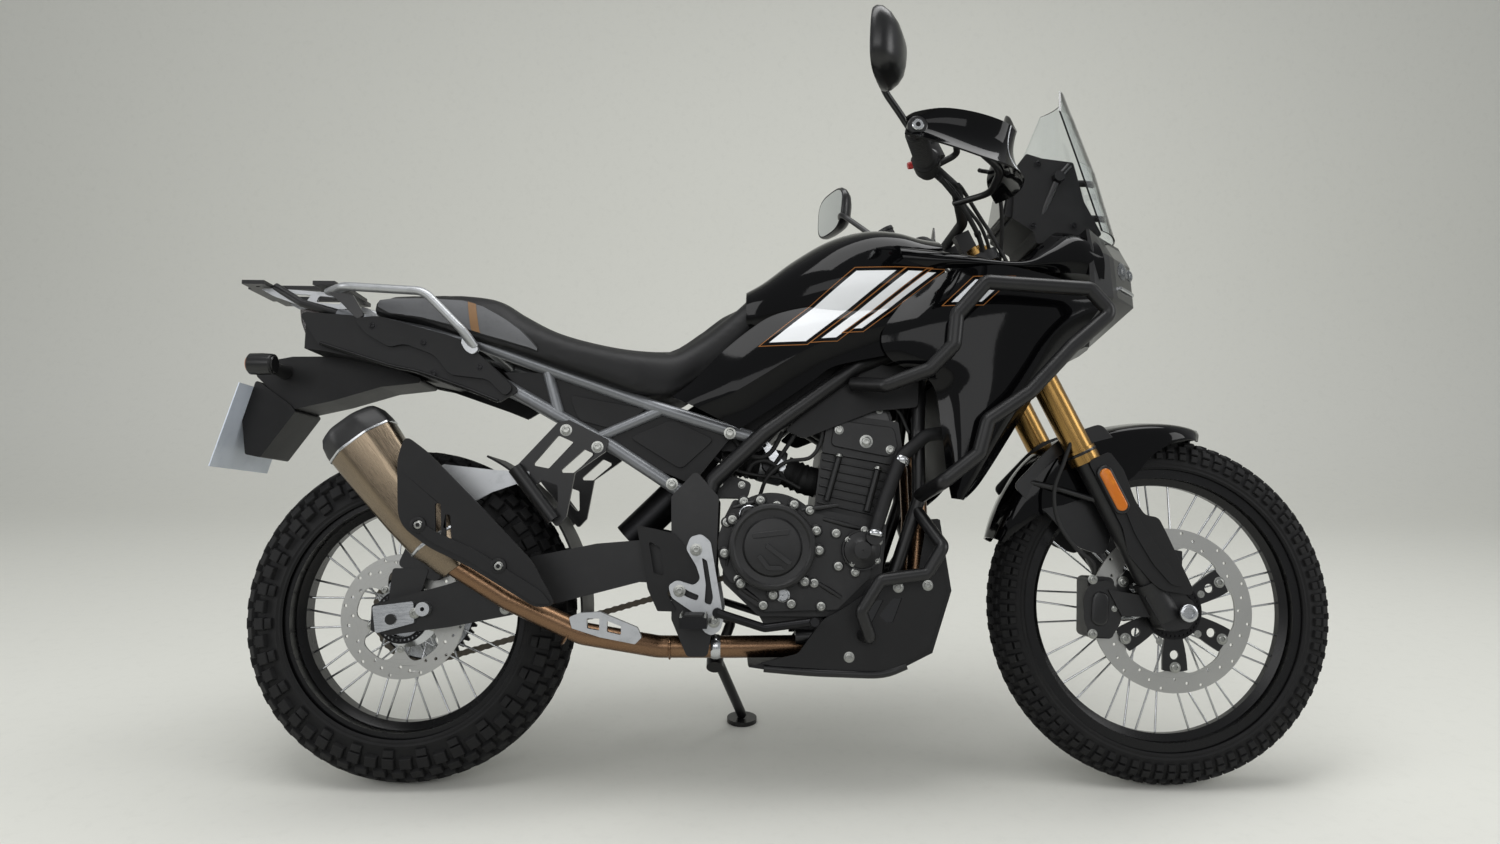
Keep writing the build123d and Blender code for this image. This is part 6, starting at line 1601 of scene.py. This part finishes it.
# %% Grab rail, rack bracket and tail panels
for side, word in BOTH_SIDES:
    rail = bent([(-172, side * 82, 966), (-112, side * 158, 958), (46, side * 175, 946),
                 (120, side * 162, 872), (136, side * 143, 846)], 16, 7)
    rod(f"grab_rail_{word}", rail, 11.5, cast_silver, sides=24, flat=0.72,
        replaces=("grab_rails",) if side < 0 else (), smooth=40)
    web = [(-150, 950), (-104, 948), (-96, 936), (-78, 905), (-92, 898), (-124, 930)]
    plate(f"grab_rail_web_{word}", web, y_span(side, 136, 142), satin_black, corner=5, arc=4, edge=1.5)
    foot = [(118, 868), (140, 852), (148, 838), (136, 828), (122, 836), (112, 852)]
    plate(f"grab_rail_foot_{word}", foot, y_span(side, 139, 150), cast_silver, corner=6, arc=4, edge=2.5,
          segments=3)
    leg = [(-318, 974), (-294, 976), (-148, 966), (-128, 950), (-133, 936), (-176, 932), (-240, 942),
           (-292, 960)]
    windows = [rounded([(-282, 966), (-216, 963), (-226, 948), (-266, 957)], 4, 3),
               rounded([(-200, 961), (-152, 957), (-158, 944), (-206, 948)], 4, 3)]
    plate(f"rack_bracket_{word}", leg, y_span(side, 58, 66), cast_silver, corner=5, arc=4, holes=windows,
          edge=1.2)
    fold = [(-98, 899), (-52, 904), (92, 866), (124, 852), (216, 766), (200, 748), (166, 782), (92, 790),
            (62, 828), (2, 850), (-26, 842), (-74, 870)]
    plate(f"tail_fold_{word}", fold, y_span(side, 138.5, 144.5), matt_black, corner=12, edge=3.0, segments=4)
    edge = bent([(-160, side * 140, 850), (-20, side * 141, 806), (30, side * 141, 797),
                 (120, side * 141, 766), (186, side * 141, 740)], 20, 5)
    rod(f"tail_edge_{word}", edge, 3.2, plain_gloss, sides=10)
print("rails and tail panels made")

# %% Lamps and plate
LENS = [(-241, 937), (-200, 935), (-199, 855), (-210, 858), (-226, 882), (-237, 910)]
plate("tail_lamp_lens", LENS, (-57, 57), smoked_lens, corner=6, arc=4, edge=4.0, segments=4,
      replaces=("tail_lamp",))
strips = []
for share in np.linspace(0.1, 0.9, 7):
    x0, z0 = -234 + 22 * share ** 1.6, 930 - 62 * share
    strips.append(cut_plate([(x0, z0), (x0 + 18, z0), (x0 + 18, z0 - 4.4), (x0 + 0.6, z0 - 4.4)], -50, 50))
finished("tail_lamp_strips", joined(strips), bright_steel, smooth=20)
plate("tail_lamp_bezel", [(-203, 932), (-198.6, 932), (-198.6, 857), (-203, 862)], (-54, 54), satin_black,
      smooth=20)
for side, word in BOTH_SIDES:
    pod = [[-287, side * 150, 806], [-284, side * 150, 806], [-262, side * 150, 806], [-244, side * 150, 806],
           [-238, side * 150, 806]]
    rod(f"rear_indicator_{word}", pod, [17.5, 20.5, 21, 20, 15], satin_black, sides=32, smooth=35)
    dome = [[-286, side * 150, 806], [-289, side * 150, 806], [-291.5, side * 150, 806],
            [-292.5, side * 150, 806]]
    rod(f"rear_indicator_lens_{word}", dome, [16, 15, 10, 4], amber, sides=28)
    stalk = [[-262, side * 58, 806], [-262, side * 76, 806], [-262, side * 112, 806], [-262, side * 130, 806]]
    rod(f"rear_indicator_stalk_{word}", stalk, [15, 13, 11.5, 12.5], rubber)
bolts("plate_bolts", [((-352, y, 736), (-1, 0, 0.28), 6, 3.5) for y in (-70, 70)], "chassis", bolt_steel)
bolts("tail_bolts", both_sides(144, 5, 3, ((-60, 884), (40, 852), (150, 806)))
      + both_sides(139.5, 6, 4, [(60, 792)]), material=dark_steel)
print("lamps made")

# %% [markdown]
# Inside the frame's bays the black covers have raised panels with soft edges. The footrests have toothed
# treads, and the brackets and swingarm show their bolts.

# %% Bay panels, footrests and bolts
def both_plates(outline, near, far, corner, arc, holes=()):
    """One cut sheet on each side of the machine, as a single part."""
    loop = rounded(outline, corner, arc)
    return joined([cut_plate(loop, *y_span(side, near, far), holes) for side in (-1, 1)])


bays = [[(319, 757), (470, 730), (406, 690), (337, 708)], [(438, 674), (520, 710), (602, 672), (538, 613)]]
for number, outline in enumerate(bays):
    panels = both_plates(outline, 115.5, 121, 12, 5)
    bevelled(finished(f"bay_panel_{number}", panels, matt_black, smooth=30), 2.4, 3)
teeth = []
for side in (-1, 1):
    for edge in (546, 590):
        for step in range(8):
            teeth.append(cut_plate([(edge, 341), (edge + 4, 341), (edge + 3, 348), (edge + 1, 348)],
                                   *y_span(side, 168 + step * 9, 173 + step * 9)))
finished("peg_teeth", joined(teeth), bolt_steel, smooth=20)
pads = both_plates([(552, 340), (588, 340), (588, 346), (552, 346)], 166, 232, 2, 3)
bevelled(finished("peg_pads", pads, rubber, smooth=30), 1.5)
BRACKET = [(552, 462), (560, 484), (580, 490), (598, 476), (624, 332), (618, 312), (602, 302), (586, 310),
           (578, 338), (556, 352), (526, 372), (520, 394), (536, 404), (568, 394), (580, 406), (572, 430)]
BRACKET_SLOTS = [[(582, 446), (592, 440), (604, 372), (600, 358), (588, 362), (590, 396)],
                 [(544, 392), (562, 382), (578, 376), (574, 366), (556, 372), (540, 382)]]
brackets = both_plates(BRACKET, 152.1, 160.1, 7, 5, [rounded(v, 4, 4) for v in BRACKET_SLOTS])
bevelled(finished("peg_brackets_cast", brackets, cast_silver, replaces=("peg_brackets",), smooth=30), 1.6, 3)
bolts("bracket_bolts", both_sides(160.1, 8, 5, ((571, 460), (541, 384), (606, 328))))
bolts("frame_bolts", both_sides(134, 8, 5, ((632, 683), (522, 584), (317, 686), (378, 654))))
bolts("arm_bolts", both_sides(126, 7, 4, [(211, 346)]) + both_sides(134, 7, 4, [(44, 338)]))
print("bays and footrests made")

# %% [markdown]
# ## Floor, light and camera
# The floor and the wall are plain and pale, so they take nothing from the machine. Large soft lamps give
# long calm highlights on gloss bodywork: one overhead, one each at the right, the front and the rear.
# The camera stands close to the right side, a little above the engine, so it has a wide lens.

# %% Floor and backdrop
floor_finish = finish("pale_studio_floor", "#dcdcd5", 0.6, grain=8.0, bump=0.05, mottle=0.05, wear="#d8d8d1")
across, run = 9.0, [(-7.0, 0.0), (3.2, 0.0), (4.0, 0.8), (4.0, 7.0)]
sweep = bent(np.array([(a, 0.0, b) for a, b in run]), 0.8, 10)[:, [0, 2]]
ends = np.array([-across, across])
backdrop_points = np.array([[(x, y, z) for x in ends] for y, z in sweep])
backdrop_mesh = bpy.data.meshes.new("studio_sweep")
backdrop_mesh.from_pydata(backdrop_points.reshape(-1, 3).tolist(), [], grid_faces(len(sweep), 2).tolist())
backdrop_mesh.materials.append(floor_finish)
shaded(backdrop_mesh, 60)
backdrop = bpy.data.objects.new("studio_sweep", backdrop_mesh)
bpy.context.scene.collection.objects.link(backdrop)
print("sweep points:", len(sweep))

# %% Lamps and world
def soft_lamp(name, place, target, size, power):
    """An area lamp of a size in metres that faces a target."""
    data = bpy.data.lights.new(name, "AREA")
    data.shape = "RECTANGLE"
    data.size, data.size_y = size
    data.energy = power
    lamp = bpy.data.objects.new(name, data)
    lamp.location = place
    lamp.rotation_euler = (Vector(target) - Vector(place)).to_track_quat("-Z", "Y").to_euler()
    bpy.context.scene.collection.objects.link(lamp)


soft_lamp("overhead_panel", (0.2, -0.3, 3.6), (0.0, 0.0, 0.5), (4.5, 1.4), 85)
soft_lamp("right_panel", (-0.6, -4.6, 2.6), (0.0, 0.0, 0.6), (5.0, 1.6), 50)
soft_lamp("front_panel", (4.2, -1.6, 2.0), (0.6, 0.0, 0.6), (1.6, 2.2), 40)
soft_lamp("rear_panel", (-4.2, -1.2, 1.8), (-0.6, 0.0, 0.6), (1.6, 2.0), 32)
world = bpy.data.worlds.new("studio_air")
bpy.context.scene.world = world
world.use_nodes = True
air = world.node_tree.nodes["Background"]
air.inputs["Color"].default_value = hue("#e8eaec")
air.inputs["Strength"].default_value = 0.50
bpy.context.scene.view_settings.view_transform = "Standard"

# %% Camera
EYE = np.array([641.5, -1819.4, 888.2])
FORWARD = np.array([0.01594, 0.99557, -0.09270])
SIDEWAYS = np.array([0.99983, -0.01503, 0.01054])
UPWARD = np.array([-0.00910, 0.09285, 0.99564])
FOCAL_SHARE = 954.1 / 1500
SENSOR_WIDTH = 36.0
data = bpy.data.cameras.new("camera")
data.sensor_width = SENSOR_WIDTH
data.lens = SENSOR_WIDTH * FOCAL_SHARE
camera = bpy.data.objects.new("camera", data)
bpy.context.scene.collection.objects.link(camera)
place = EYE / 1000 + leaned(np.zeros(3))
camera.matrix_world = Matrix(np.vstack([np.column_stack([SIDEWAYS, UPWARD, -FORWARD, place]),
                                        [0, 0, 0, 1]]).tolist())
bpy.context.scene.camera = camera
print("camera at", [round(v, 3) for v in camera.location])
